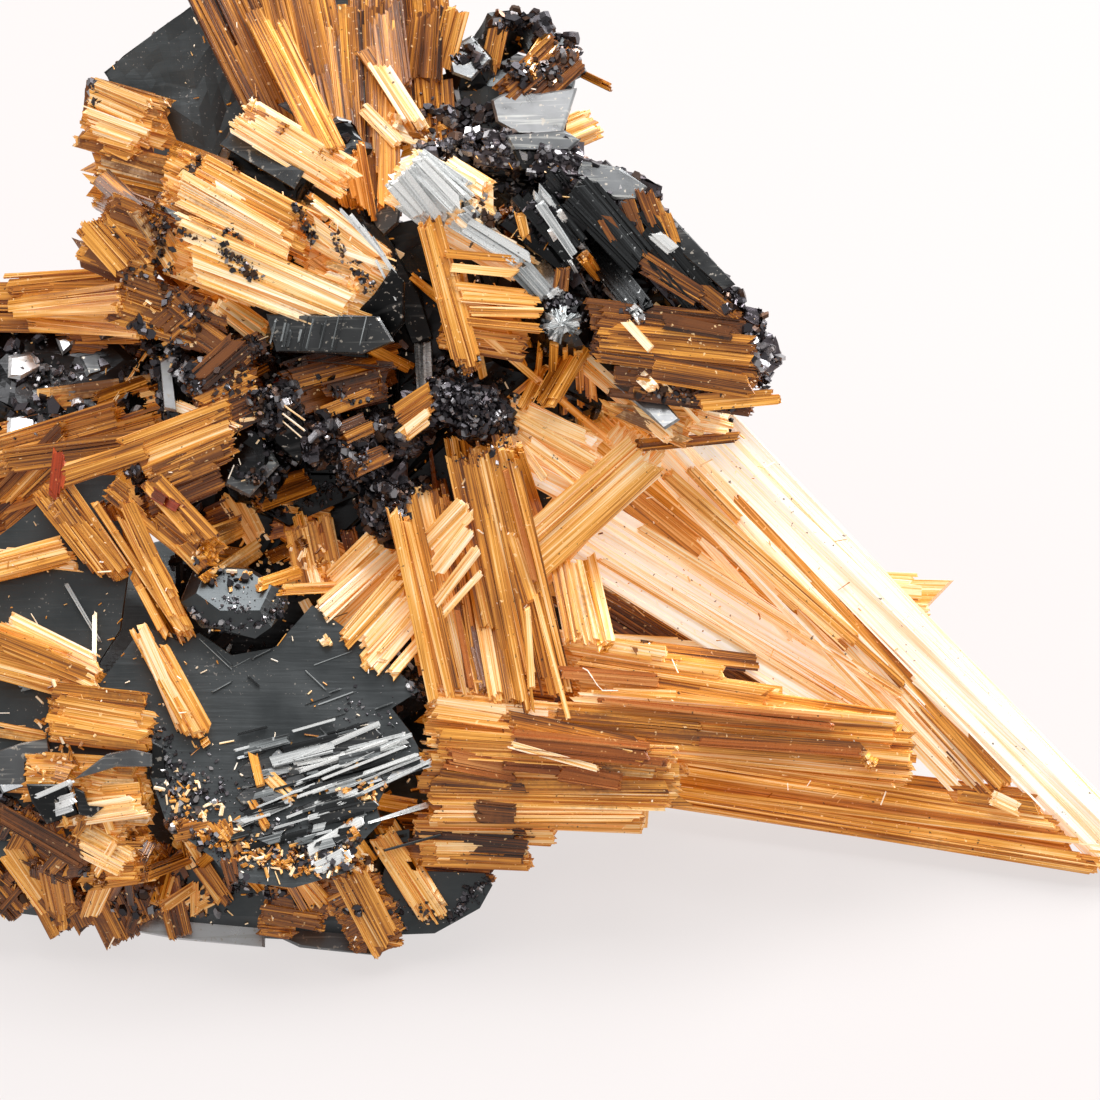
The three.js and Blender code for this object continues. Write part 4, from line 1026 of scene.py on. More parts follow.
# The right cluster: a silver-looking bundle and level golden needles at the left, black prisms
# capped by a purplish crust over it, and brown laths to its right end.
fill_nodes((
    ("rutile_silver_bundle", 0.08, (0.9, 0.2, 0.3)),
    ("rutile_level_needles", 0.09, (0.46, 0.28, 0.3)),
    ("rutile_right_end", 0.08, (0.12, 0.3, 0.8)),
    ("rutile_right_foot", 0.10, (0.66, 0.18, 0.7)),
    ("rutile_steep_needle", 0.11, (0.52, 0.16, 0.2)),
))
lay_all("rutile_right_details", RUTILE, "rutile_pale", (
    ((-4.2, 15.5), (-2.6, 14.4), 0.7, CREAM, 0.3),
    ((3.6, 5.6, -2.9), (6.6, 5.3, -2.9), 1.5, TAN, 0),
    ((-3.0, 13.7), (-2.1, 13.4), 0.5, CREAM, 0.3),
    ((-3.7, 13.3), (-0.4, 10.3), 0.4, CREAM, 0.3),
    ((-4.1, 11.8), (-1.4, 11.6), 0.3, GOLDEN, 0.4),
    ((-3.9, 11.2), (-1.4, 11.0), 0.2, TAN, 0.4),
    ((-3.7, 10.5), (-0.8, 10.2), 0.3, GOLDEN, 0.4),
    ((-3.6, 10.0), (-0.6, 9.8), 0.2, GOLDEN, 0.4),
    ((-3.4, 9.5), (-0.4, 9.4), 0.3, GOLDEN, 0.4),
    ((-3.3, 9.1), (-0.4, 8.8), 0.3, GOLDEN, 0.4),
    ((-3.2, 8.6), (-1.2, 8.4), 0.2, ORANGE, 0.3),
    ((-5.1, 13.0), (-3.6, 7.4), 0.4, GOLDEN, 0.5),
    ((-4.7, 13.1), (-3.1, 7.4), 0.35, ORANGE, 0.6),
    ((-3.6, 11.2), (-2.7, 6.9), 0.2, TAN, 0.6),
    ((-5.6, 11.0), (-4.4, 10.0), 0.2, GOLDEN, 0.6),
    ((-3.0, 8.8), (2.4, 4.3), 0.14, GOLDEN, 0.9, {"thick": 0.12}),
    ((1.8, 9.1), (8.2, 8.4), 1.6, BROWN, 0.3),
    ((2.0, 8.2), (8.1, 7.5), 1.4, (0.32, 0.24, 0.5), 0.3),
    ((3.6, 7.3), (8.0, 6.6), 1.0, BROWN, 0.3),
    ((4.6, 9.1), (7.4, 8.6), 0.6, DARK, 0.35),
    ((4.0, 9.8), (5.5, 8.5), 0.3, CREAM, 0.4),
    ((3.0, 9.0), (4.0, 7.9), 0.14, CREAM, 0.4),
    ((3.0, 7.5), (4.0, 6.5), 0.45, CREAM, 0.4),
    ((4.4, 6.8), (6.0, 5.0), 0.12, CREAM, 0.4),
    ((5.8, 5.3), (7.4, 5.0), 1.0, TAN, 0.2),
    ((6.0, 5.8), (9.1, 6.1), 0.5, ORANGE, 0.2),
    ((0.2, 10.5), (0.2, 11.2), 0.3, ORANGE, 0.4),
    ((0.5, 10.4), (0.6, 11.2), 0.4, BROWN, 0.4),
    ((-1.7, 13.4), (-1.5, 12.6), 0.5, BROWN, 0.3),
    ((-1.2, 13.4), (-1.0, 12.5), 0.4, ORANGE, 0.3),
    ((-0.4, 8.2), (-0.6, 6.0), 0.14, ORANGE, 0.4),
    ((0.1, 8.2), (-0.0, 5.6), 0.18, GOLDEN, 0.4),
    ((0.6, 8.0), (0.6, 5.5), 0.14, GOLDEN, 0.4),
    ((1.1, 7.9), (1.2, 5.7), 0.25, ORANGE, 0.4),
    ((1.4, 7.9), (1.6, 6.0), 0.18, GOLDEN, 0.4),
    ((-1.6, 6.1), (-0.2, 7.3), 0.2, GOLDEN, 0.5),
    ((-1.0, 5.7), (-0.2, 7.3), 0.2, GOLDEN, 0.5),
    ((-1.9, 9.2), (-1.0, 7.3), 0.1, ORANGE, 0.6, {"thick": 0.1}),
    ((3.0, 14.0), (3.6, 12.4), 0.7, BROWN, 0.2),
    ((4.0, 13.4), (4.5, 12.1), 0.5, DULL, 0.2),
    ((4.2, 11.5), (5.6, 11.0), 0.8, BROWN, 0.2),
    ((3.7, 14.3), (4.2, 13.0), 0.5, BROWN, 0.45),
    ((4.5, 13.4), (5.0, 12.2), 0.5, (0.4, 0.2, 0.8), 0.45),
    ((2.0, 13.4), (2.6, 12.4), 0.4, BROWN, 0.5),
    ((3.6, 11.5), (6.0, 10.0), 0.7, BROWN, 0.4),
    ((5.6, 10.6), (7.4, 9.2), 0.6, ORANGE, 0.3),
    ((1.4, 11.5), (2.0, 10.8), 0.3, ORANGE, 0.4),
))
SILVERY = (1.06, 0.3, 0.1)
BLACK_RIBBED = (0.06, 0.2, 0.05)
STRIPES_ON_DARK_FACE = (-10.9, -10.5, -10.35, -10.2, -9.8, -9.6, -9.4, -9.0, -8.9, -8.4, -8.2,
                        -7.9, -7.3, -7.1)
lay_all("hematite_silver_fibres", SILVER, "hematite", (
    ((-5.8, 15.4), (-4.0, 13.4), 1.5, SILVERY, 0.35, {"ragged": 1.5}),
    ((-5.9, 14.9), (-4.6, 13.3), 1.5, SILVERY, 0.5, {"ragged": 0.7}),
    ((-5.4, 15.5), (-3.7, 13.8), 0.8, SILVERY, 0.55, {"ragged": 0.7}),
    ((-3.8, 13.1), (-1.2, 11.5), 0.6, SILVERY, 0.45),
    ((-0.4, 11.5), (0.2, 10.3), 0.7, SILVERY, 0.4),
    ((-5.2, 15.6), (-3.5, 14.4), 0.5, SILVERY, 0.4, {"ragged": 1.5}),
    ((-5.9, 14.0), (-4.8, 13.1), 0.8, SILVERY, 0.4, {"ragged": 1.5}),
    ((-5.9, 14.5), (-4.2, 13.1), 0.9, SILVERY, 0.35, {"ragged": 2}),
    ((-5.0, 15.6), (-3.2, 14.0), 0.4, SILVERY, 0.4),
    ((-3.4, 13.5), (-0.4, 10.6), 0.6, (0.7, 0.25, 0.3), 0.3, {"ragged": 1.5}),
    ((-3.2, 12.4), (-1.0, 10.8), 0.5, (0.6, 0.25, 0.3), 0.2, {"ragged": 1.5}),
    ((-1.2, 11.2), (-0.2, 10.1), 0.8, (0.7, 0.25, 0.3), 0.3, {"ragged": 1.5}),
    ((-0.8, 14.1), (1.0, 11.9), 1.2, BLACK_RIBBED, 0.4),
    ((-0.6, 14.2), (1.3, 12.1), 0.3, SILVERY, 0.55, {"thick": 0.12}),
    ((0.4, 13.4), (1.6, 11.8), 0.2, SILVERY, 0.5, {"thick": 0.12}),
    ((-0.1, 15.0), (2.0, 12.6), 1.0, BLACK_RIBBED, 0.4),
    ((1.0, 14.4), (3.6, 11.5), 1.6, BLACK_RIBBED, 0.5),
    ((1.6, 12.2), (3.6, 9.6), 1.0, BLACK_RIBBED, 0.3),
    ((2.2, 10.6), (3.4, 9.5), 0.4, SILVERY, 0.4),
    ((3.6, 12.8), (6.0, 10.0), 1.4, BLACK_RIBBED, 0.3),
    ((4.2, 12.6), (4.9, 12.0), 0.5, SILVERY, 0.5),
    ((-5.2, 8.4), (-5.0, 6.2), 0.5, (0.6, 0.3, 0.1), 0.3),
    ((-8.3, 13.5, 2.1), (-6.8, 11.9, 1.9), 0.12, SILVERY, 0, {"thick": 0.08, "fineness": 0.04}),
    ((-7.9, 13.3, 2.1), (-6.4, 11.4, 1.9), 0.1, SILVERY, 0, {"thick": 0.08, "fineness": 0.04}),
    ((-7.5, 12.9, 2.0), (-6.2, 11.0, 1.8), 0.14, SILVERY, 0, {"thick": 0.08, "fineness": 0.04}),
    ((-7.1, 12.5, 2.0), (-5.9, 10.6, 1.7), 0.06, SILVERY, 0, {"thick": 0.06, "fineness": 0.03}),
    ((-6.9, 11.5, 1.9), (-6.1, 10.0, 1.7), 0.08, SILVERY, 0, {"thick": 0.06, "fineness": 0.03}),
    ((-0.5, 13.7), (0.9, 11.7), 0.1, SILVERY, 0.7, {"thick": 0.08}),
    ((-0.0, 12.7), (1.2, 10.8), 0.1, SILVERY, 0.6, {"thick": 0.08}),
    ((0.8, 11.5), (1.7, 10.0), 0.14, SILVERY, 0.5, {"thick": 0.08}),
    ((2.0, 11.0), (2.9, 9.8), 0.12, SILVERY, 0.6, {"thick": 0.08}),
    ((2.6, 11.5), (3.6, 10.2), 0.06, SILVERY, 0.6, {"thick": 0.06}),
    ((-20.4, -9.8), (-19.0, -9.2), 0.14, SILVERY, 0.8, {"thick": 0.08}),
    ((-20.3, -10.2), (-19.0, -9.8), 0.3, SILVERY, 0.8, {"thick": 0.08}),
    ((-20.2, -10.6), (-19.0, -10.2), 0.3, SILVERY, 0.8, {"thick": 0.08}),
    *(((right, 9.3, 1.88), (right - 0.3, 8.0, 1.98), 0.03, (0.5, 0.3, 0.1), 0,
       {"thick": 0.06, "ragged": 3, "fineness": 0.03}) for right in STRIPES_ON_DARK_FACE),
))
frame["nodes"]["hematite_crust_right"].material_slots[0].material = UNDER_CRUST
roughen("hematite_crust_right", 3, 0.45, 0.8, 0.12)
crystals = Tablets()
crust_over(crystals, "hematite_crust_right", 900, 0.3, 13, brown=0.35, bright=0.4)
crust_patches(crystals, (
    (((-4.8, 16.0), (-2.8, 16.8), (-1.2, 16.0), (1.0, 15.6)), 0.7, 420, 0.26, 31, 0.25, 0.9, 0),
    (((-2.0, 15.0), (-1.2, 13.4), (0.4, 12.8)), 0.8, 240, 0.26, 32, 0.3, 0.35, 0),
    (((2.9, 13.8), (4.6, 13.4), (5.2, 11.6), (7.4, 9.8)), 0.7, 440, 0.28, 33, 0.4, 0.8, 0),
    (((8.2, 8.8), (8.6, 7.2), (9.2, 6.2)), 0.5, 260, 0.28, 34, 0.2, 0.9, 0),
    (((-0.2, 10.0), (1.2, 9.6)), 0.6, 160, 0.22, 35, 0.1, 0.5, 0),
    (((3.6, 6.4), (6.0, 6.0), (7.4, 5.2)), 0.5, 140, 0.22, 36, 0.6, 0.35, 0),
    (((1.2, 11.4), (3.6, 8.8)), 0.5, 160, 0.22, 37, 0.3, 0.5, 0),
    (((-3.2, 13.8), (-2.0, 13.0)), 0.4, 80, 0.22, 38, 0.5, 0.35, 0),
))
crystals.finish("hematite_right_crystals", CRUST, "hematite_crust")
lay_faces("hematite_right_faces", (
    (((-1.8, 16.6), (0.6, 16.8), (1.2, 16.4), (0.8, 16.0), (-1.5, 16.0)), 0.34, (0.0, -0.36), 0.35),
    (((-1.5, 16.0), (0.8, 15.9), (0.6, 15.1), (-1.2, 15.2)), 0.1, (0.0, 0.2), 0.3),
    (((1.2, 15.6), (2.8, 15.3), (3.9, 14.5), (3.5, 14.0), (2.6, 14.0), (1.1, 14.9)), 0.42,
     (0.0, -0.36), 0.4),
    (((1.1, 14.8), (2.6, 13.9), (3.1, 12.0), (1.2, 13.4), (0.8, 14.2)), 0.04, (0.1, 0.2), 0.35),
    (((4.0, 14.4), (5.1, 13.1), (7.4, 10.6), (6.9, 10.4), (4.6, 12.4), (3.6, 13.8)), 0.1,
     (0.1, -0.3), 0.3),
    (((2.6, 6.6), (4.0, 6.6), (5.2, 5.2), (4.6, 4.8), (3.9, 5.4)), 0.62, (0.0, -0.45), 1.0),
    (((-7.4, 13.3), (-7.0, 14.2), (-6.2, 14.7), (-5.9, 14.3), (-6.1, 13.1), (-6.7, 12.6)), 0.3,
     (0.2, -0.2), 0.2),
))
# a rosette of silvery fibres that spread from one point into a low dome
ROSETTE_RIGHT, ROSETTE_UP = 0.5, 9.0
ROSETTE_HEIGHT = 0.35
FIBRE_WIDTH, FIBRE_DEPTH = 0.22, 0.1
rosette = Laths()
rng = random.Random(5)
rosette_near = landing(ROSETTE_RIGHT, 9.1)[0] + ROSETTE_HEIGHT
middle = seen(ROSETTE_RIGHT, ROSETTE_UP, rosette_near)
for _ in range(70):
    turn, reach = rng.uniform(0, 2 * math.pi), rng.uniform(0.25, 0.8)
    out = seen(ROSETTE_RIGHT + reach * math.cos(turn), ROSETTE_UP + reach * math.sin(turn),
               rosette_near - 0.05 - 0.6 * reach ** 2)
    facing = (TOWARDS_VIEWER + 0.5 * any_way(rng)).normalized()
    along = (out - middle).normalized()
    rosette.add(middle, out, facing.cross(along).normalized(), facing, FIBRE_WIDTH, FIBRE_DEPTH,
                (rng.uniform(0.4, 0.95), rng.random(), 0.2, 1), rng)
rosette.finish("hematite_rosette", SILVER, "hematite")

# The spray out of the middle of the front: steep bundles, pale laths crossing them, bright short
# blades, long blades to the right and a long level bundle with a stepped end.
fill_nodes((
    ("rutile_steep_sheaf", 0.08, (0.4, 0.3, 0.3)),
    ("rutile_steep_left_sheaf", 0.08, (0.44, 0.28, 0.3)),
    ("rutile_crossing_sheaf", 0.09, (0.74, 0.18, 0.3)),
    ("rutile_short_steep", 0.09, (0.52, 0.18, 0.5)),
    ("rutile_bright_sheaf", 0.09, (0.92, 0.3, 0.2)),
    ("rutile_broad_blade", 0.11, (0.74, 0.2, 0.2), {"ragged": 0.3}),
    # the pale sheaf and the narrow and long blades are partly pale rutile and partly painted paler:
    # painted light where the light from the right falls full on them
    ("rutile_pale_sheaf", 0.12, (1.2, 0.4, 0.1), {"ragged": 0.5}),
    ("rutile_between_blade", 0.12, (0.56, 0.3, 0.2), {"ragged": 0.6}),
    ("rutile_narrow_blade", 0.14, (1.02, 0.24, 0.05), {"ragged": 0.2}),
    ("rutile_long_blade", 0.16, (1.14, 0.2, 0.05), {"ragged": 0.2}),
    ("rutile_back_blade", 0.13, (0.9, 0.18, 0.2)),
    ("rutile_back_fan", 0.13, (0.16, 0.1, 0.2)),
    ("rutile_table_blade", 0.12, (0.56, 0.2, 0.4), {"ragged": 0.4}),
    ("rutile_level_bundle", 0.08, (0.62, 0.26, 0.35), {"ragged": 0.7}),
    ("rutile_stepped_laths", 0.09, (0.6, 0.28, 0.55)),
))
lay_all("rutile_spray_details", RUTILE, "rutile_gold", (
    ((-2.4, -5.3, -0.8), (4.4, -6.1, -0.8), 1.4, ORANGE, 0, {"ragged": 0.5}),
    ((-4.0, 4.5), (-2.1, -6.0), 0.5, (0.48, 0.3, 0.3), 0.5),
    ((-3.5, 4.4), (-1.4, -6.2), 0.5, ORANGE, 0.5),
    ((-3.1, 4.3), (-1.0, -6.5), 0.3, ORANGE, 0.5),
    ((-2.6, 4.2), (-0.6, -2.0), 0.6, ORANGE, 0.6),
    ((-1.8, 4.0), (-0.0, -1.8), 0.5, (0.48, 0.3, 0.3), 0.5),
    ((-1.4, 3.8), (0.4, -2.5), 0.4, ORANGE, 0.4),
    ((-6.2, 1.6), (-4.4, -5.9), 0.6, GOLDEN, 0.4),
    ((-5.7, 2.0), (-3.8, -5.8), 0.5, ORANGE, 0.3),
    ((-5.2, 2.5), (-3.2, -5.8), 0.4, GOLDEN, 0.2),
    ((-4.6, 2.8), (-2.6, -5.6), 0.4, BROWN, 0.2),
    ((-6.4, -0.0), (-9.1, -2.5), 0.7, CREAM, 0.3),
    ((-5.9, -1.0), (-8.2, -3.6), 0.8, TAN, 0.35),
    ((-5.5, -1.8), (-7.6, -4.1), 0.8, CREAM, 0.35),
    ((-5.2, -2.5), (-7.0, -4.6), 0.7, CREAM, 0.35),
    ((-5.0, -3.4), (-6.3, -4.9), 0.4, CREAM, 0.3),
    ((-7.1, 0.5), (-8.9, -1.2), 0.6, TAN, 0.2),
    ((-3.4, 1.8), (-4.9, 0.2), 0.8, CREAM, 0.6),
    ((-3.3, 0.9), (-4.8, -1.0), 0.6, CREAM, 0.6),
    ((-3.0, -0.0), (-4.7, -2.2), 0.3, CREAM, 0.7),
    ((-2.8, -0.9), (-4.6, -2.9), 0.12, CREAM, 0.7),
    ((-1.2, -2.0), (-0.6, -6.9), 0.1, TAN, 0.9, {"thick": 0.1}),
    ((-1.0, -2.2), (-0.8, -6.0), 0.1, GOLDEN, 0.9, {"thick": 0.1}),
    ((-0.6, -1.8), (0.6, -6.7), 0.12, TAN, 0.8, {"thick": 0.1}),
    ((-1.4, 5.6), (1.4, 4.4), 0.5, CREAM, 0.4),
    ((-1.3, 5.2), (1.8, 3.5), 0.5, TAN, 0.4),
    ((-1.2, 4.6), (1.2, 2.7), 0.5, CREAM, 0.4),
    ((-1.2, 4.2), (-0.2, 2.8), 0.3, CREAM, 0.4),
    ((-1.7, -1.1, 0.2), (3.84, 3.76, -0.5), 2.0, (0.74, 0.2, 0.2), 0,
     {"fineness": 0.12, "ragged": 0.4}),
    ((3.6, 4.2), (7.6, 4.6), 0.5, BROWN, 0.4, {"ragged": 0.3}),
    ((0.2, -0.2), (0.9, -3.6), 0.5, GOLDEN, 0.3),
    ((0.8, -0.2), (1.6, -3.7), 0.5, TAN, 0.3),
    ((1.4, -0.4), (2.2, -3.8), 0.4, GOLDEN, 0.3),
    ((1.1, 7.7), (4.6, 4.5), 0.6, CREAM, 0.3, {"ragged": 0.3}),
    ((-10.1, 1.4), (-9.3, -1.5), 0.5, TAN, 0.4),
    ((-9.1, 1.4), (-8.4, -2.0), 0.5, TAN, 0.4),
    ((-10.8, -1.2), (-9.0, -0.8), 0.4, GOLDEN, 0.3),
    ((-10.7, -1.6), (-8.4, -1.5), 0.4, GOLDEN, 0.3),
    ((-8.2, 0.8), (-7.9, -0.4), 0.5, BROWN, 0.3),
    ((-4.6, -6.1), (0.4, -6.6), 0.7, TAN, 0.2),
    ((-0.2, -6.5), (6.0, -7.0), 0.35, BROWN, 0.15),
    ((0.4, -7.1), (12.4, -7.9), 0.3, BROWN, 0.12, {"ragged": 0.5}),
    ((-1.2, -7.4), (3.6, -7.7), 0.4, CREAM, 0.15),
    ((-4.6, -6.3), (-1.7, -6.7), 0.8, (0.7, 0.26, 0.3), 0.3, {"ragged": 0.6}),
    ((-1.8, -7.0), (3.8, -8.1), 1.0, (0.44, 0.34, 0.3), 0.3),
    ((2.5, -8.9), (5.3, -9.0), 0.4, TAN, 0.2),
    ((-4.5, -9.0), (-1.2, -9.3), 0.8, BROWN, 0.15),
    ((-2.9, -10.4), (-1.4, -10.5), 0.9, DARK, 0.3),
    ((17.8, -10.0), (18.9, -10.5), 0.5, CREAM, 0.2),
    ((2.0, -5.6), (5.2, -5.9), 0.4, TAN, 0.15),
    ((3.6, -4.0), (8.4, -4.7), 0.5, BROWN, 0.1),
    ((0.4, -3.6), (6.0, -4.1), 0.4, CREAM, 0.1, {"ragged": 2}),
    ((6.0, -0.4), (10.0, -3.6), 0.3, CREAM, 0.2, {"ragged": 0.5}),
    ((3.6, 0.8), (14.0, -6.0), 0.2, CREAM, 0.2, {"ragged": 0.3}),
    ((2.0, -0.4), (11.6, -6.0), 0.2, (0.7, 0.2, 0.2), 0.1, {"ragged": 0.3}),
    ((3.9, 3.0), (10.0, -2.2), 0.9, (0.52, 0.16, 0.2), 0.25, {"ragged": 0.3}),
    ((4.7, 3.0), (12.2, -3.8), 0.45, (0.6, 0.2, 0.2), 0.3, {"ragged": 0.3}),
    ((6.0, 2.0), (14.2, -5.5), 0.2, (0.42, 0.14, 0.2), 0.3, {"ragged": 0.3}),
    ((-6.1, -10.7), (-0.8, -11.0), 1.0, (0.24, 0.3, 0.4), 0.25),
    ((-5.8, -11.7), (-1.0, -12.0), 1.1, (0.16, 0.3, 0.4), 0.25),
    ((-5.3, -12.6), (-2.3, -12.9), 0.7, BROWN, 0.25),
    ((13.2, -9.0), (14.1, -7.2), 0.35, (0.3, 0.2, 0.8), 0.2, {"ragged": 0.3}),
    ((5.2, 2.0), (11.6, -3.6), 0.12, CREAM, 0.3, {"ragged": 0.5}),
    ((6.0, 0.4), (9.6, -3.6), 0.1, CREAM, 0.4, {"ragged": 0.5}),
    ((-4.5, -7.8), (2.0, -8.2), 0.9, ORANGE, 0.2),
    ((-1.6, -7.8), (1.9, -8.7), 0.14, CREAM, 0.3, {"thick": 0.1}),
    ((7.3, 2.0), (18.0, -9.7), 0.7, (0.5, 0.3, 0.2), 0.12, {"ragged": 0.3}),
    ((5.6, 3.2), (7.6, 1.2), 0.3, GOLDEN, 0.1, {"ragged": 0.3}),
    ((12.8, -8.4), (14.1, -7.1), 0.5, (0.6, 0.15, 0.7), 0.3, {"ragged": 0.2}),
))
AMBER_SHADES = (
    (0.0, (0.15, 0.035, 0.006, 1)),
    (0.5, (0.4, 0.115, 0.018, 1)),
    (1.0, (0.75, 0.36, 0.12, 1)),
)
AMBER_RUTILE = striped_material("amber rutile", AMBER_SHADES, 0.25, 0.1,
                                (0.3, 0.1, 0.03, 1), (0.9, 0.5, 0.2, 1))[0]
lay_all("rutile_amber_laths", AMBER_RUTILE, "rutile_brown", (
    ((-1.5, -7.7), (3.8, -8.2), 0.75, (0.5, 0.3, 0.2), 0.35, {"ragged": 0.4}),
    ((0.4, -8.9), (2.8, -9.3), 0.6, (0.56, 0.3, 0.2), 0.4, {"ragged": 0.5}),
    ((-1.8, -8.6), (0.5, -8.8), 0.3, (0.1, 0.2, 0.4), 0.35),
    ((-4.1, -8.3), (-1.5, -8.8), 0.8, (0.66, 0.3, 0.3), 0.35, {"ragged": 0.5}),
    ((2.0, -6.0), (11.2, -6.9), 0.14, (0.6, 0.2, 0.2), 0.35, {"ragged": 0.5}),
    ((0.4, -4.9), (4.4, -5.2), 0.4, (0.6, 0.3, 0.2), 0.3),
    ((6.0, -7.7), (12.4, -8.1), 0.2, (0.5, 0.2, 0.2), 0.35),
    ((2.5, -8.2), (4.6, -8.5), 0.3, (0.3, 0.3, 0.3), 0.3),
    ((-4.8, 4.0), (-4.2, -0.4), 0.12, (0.4, 0.2, 0.2), 0.6),
    ((-1.8, 3.2), (-0.6, -1.2), 0.16, (0.6, 0.2, 0.2), 0.75),
    ((-3.8, -2.0), (-3.1, -5.6), 0.14, (0.5, 0.2, 0.2), 0.7),
))

# Hematite plates at the lower left: a star-edged plate with bright lines, a small crystal with a
# sparkling rim, and sheaves, wedges and blocks of rutile lying on and between them.
WORN_EDGE = 0.12
for name in ("hematite_star_plate", "hematite_left_plate", "hematite_front_plate",
             "hematite_small_crystal"):
    frame["nodes"][name].material_slots[0].material = GREY_FACES
    edges = frame["nodes"][name].modifiers.new("worn edges", "BEVEL")
    edges.width = WORN_EDGE * MM
    edges.segments = 2
    edges.limit_method = "ANGLE"
fill_nodes((
    ("rutile_red_wedge", 0.09, (0.48, 0.2, 0.6)),
    ("rutile_plate_sheaf_upper", 0.08, (0.42, 0.22, 0.4)),
    ("rutile_plate_sheaf_lower", 0.08, (0.54, 0.2, 0.4)),
    ("rutile_plate_needles", 0.08, (0.6, 0.14, 0.3)),
    ("rutile_left_wedge", 0.09, (0.64, 0.18, 0.4), {"ragged": 0.4}),
    ("rutile_plate_block", 0.09, (0.46, 0.24, 0.5)),
    ("rutile_plate_stubs", 0.09, (0.62, 0.24, 0.6)),
    ("rutile_corner_ridge", 0.09, (0.1, 0.2, 0.9)),
    ("rutile_corner_blades", 0.09, (0.3, 0.26, 0.7)),
    ("rutile_front_blocks", 0.09, (0.34, 0.24, 0.7)),
    ("rutile_front_strip", 0.08, (0.6, 0.16, 0.4)),
))
lay_all("rutile_plate_details", RUTILE, "rutile_gold", (
    ((-18.4, 3.0), (-15.9, -3.0), 0.22, TAN, 0.5),
    ((-17.4, 3.0), (-13.5, -0.2), 1.0, ORANGE, 0.4),
    ((-16.0, 2.8), (-13.8, 0.4), 0.8, ORANGE, 0.4),
    ((-17.5, 1.8), (-15.0, -3.3), 0.9, (0.3, 0.22, 0.4), 0.4),
    ((-16.9, 2.0), (-14.4, -3.6), 0.6, ORANGE, 0.3),
    ((-16.4, -3.3), (-14.6, -7.4), 0.2, TAN, 0.25),
    ((-16.0, -3.0), (-13.8, -7.5), 0.3, TAN, 0.25),
    ((-19.7, 2.0), (-17.7, -0.9), 0.9, ORANGE, 0.3),
    ((-22.0, -2.9), (-18.1, -4.9), 1.2, TAN, 0.3),
    ((-22.0, -3.6), (-18.1, -5.2), 0.6, ORANGE, 0.3),
    ((-22.0, -0.2), (-18.9, -0.5), 0.6, TAN, 0.3),
    ((-18.2, -2.5), (-18.2, -5.1), 0.1, CREAM, 0.3, {"thick": 0.1}),
    ((-22.0, -7.2), (-20.2, -7.5), 0.5, TAN, 0.2),
    ((-19.8, -6.3), (-15.9, -7.0), 1.1, GOLDEN, 0.3),
    ((-19.8, -7.1), (-15.8, -7.7), 0.5, ORANGE, 0.3),
    ((-20.9, -8.6), (-19.1, -9.0), 0.7, GOLDEN, 0.3),
    ((-18.6, -9.1), (-16.0, -9.6), 0.9, GOLDEN, 0.3),
    ((-18.4, -10.5), (-16.2, -10.2), 0.8, CREAM, 0.3),
    ((-18.7, -11.5), (-16.8, -12.5), 1.2, TAN, 0.3),
    ((-22.0, -10.5), (-18.4, -12.5), 0.6, DARK, 0.3),
    ((-21.6, -11.7), (-19.9, -14.2), 1.2, GOLDEN, 0.2),
    ((-20.0, -12.2), (-19.6, -14.5), 0.9, ORANGE, 0.2),
    ((-17.6, -12.8), (-18.4, -14.6), 0.8, GOLDEN, 0.2),
    ((-15.4, -13.0), (-14.8, -15.4), 1.0, BROWN, 0.2),
    ((-14.0, -12.5), (-13.0, -14.0), 0.7, ORANGE, 0.2),
    ((-10.5, -12.3), (-9.0, -14.9), 1.0, ORANGE, 0.2),
    ((-8.0, -12.9), (-6.5, -15.8), 1.3, ORANGE, 0.2),
    ((-6.8, -11.1), (-4.8, -14.7), 0.5, GOLDEN, 0.2),
    ((-6.4, -10.8), (-4.4, -14.0), 0.2, TAN, 0.2),
    ((-11.8, -8.2), (-11.5, -9.4), 0.28, ORANGE, 0.2),
    ((-10.0, -2.0), (-9.0, -3.6), 0.3, CREAM, 0.3),
    ((-8.2, -9.8), (-5.5, -10.5), 0.4, GOLDEN, 0.2),
    ((-7.9, -10.8), (-6.1, -11.0), 0.3, BROWN, 0.2),
    ((-7.9, -11.5), (-7.1, -12.6), 0.5, GOLDEN, 0.2),
    ((-11.3, -9.0), (-10.3, -10.0), 0.3, GOLDEN, 0.2),
    ((-11.9, -10.0), (-11.3, -11.0), 0.3, GOLDEN, 0.2),
    ((-15.1, -11.4), (-14.2, -12.7), 0.5, CREAM, 0.2),
    ((-12.5, -12.3), (-11.5, -13.6), 0.5, ORANGE, 0.2),
    ((-9.8, -12.9), (-8.8, -14.4), 0.6, GOLDEN, 0.3),
))
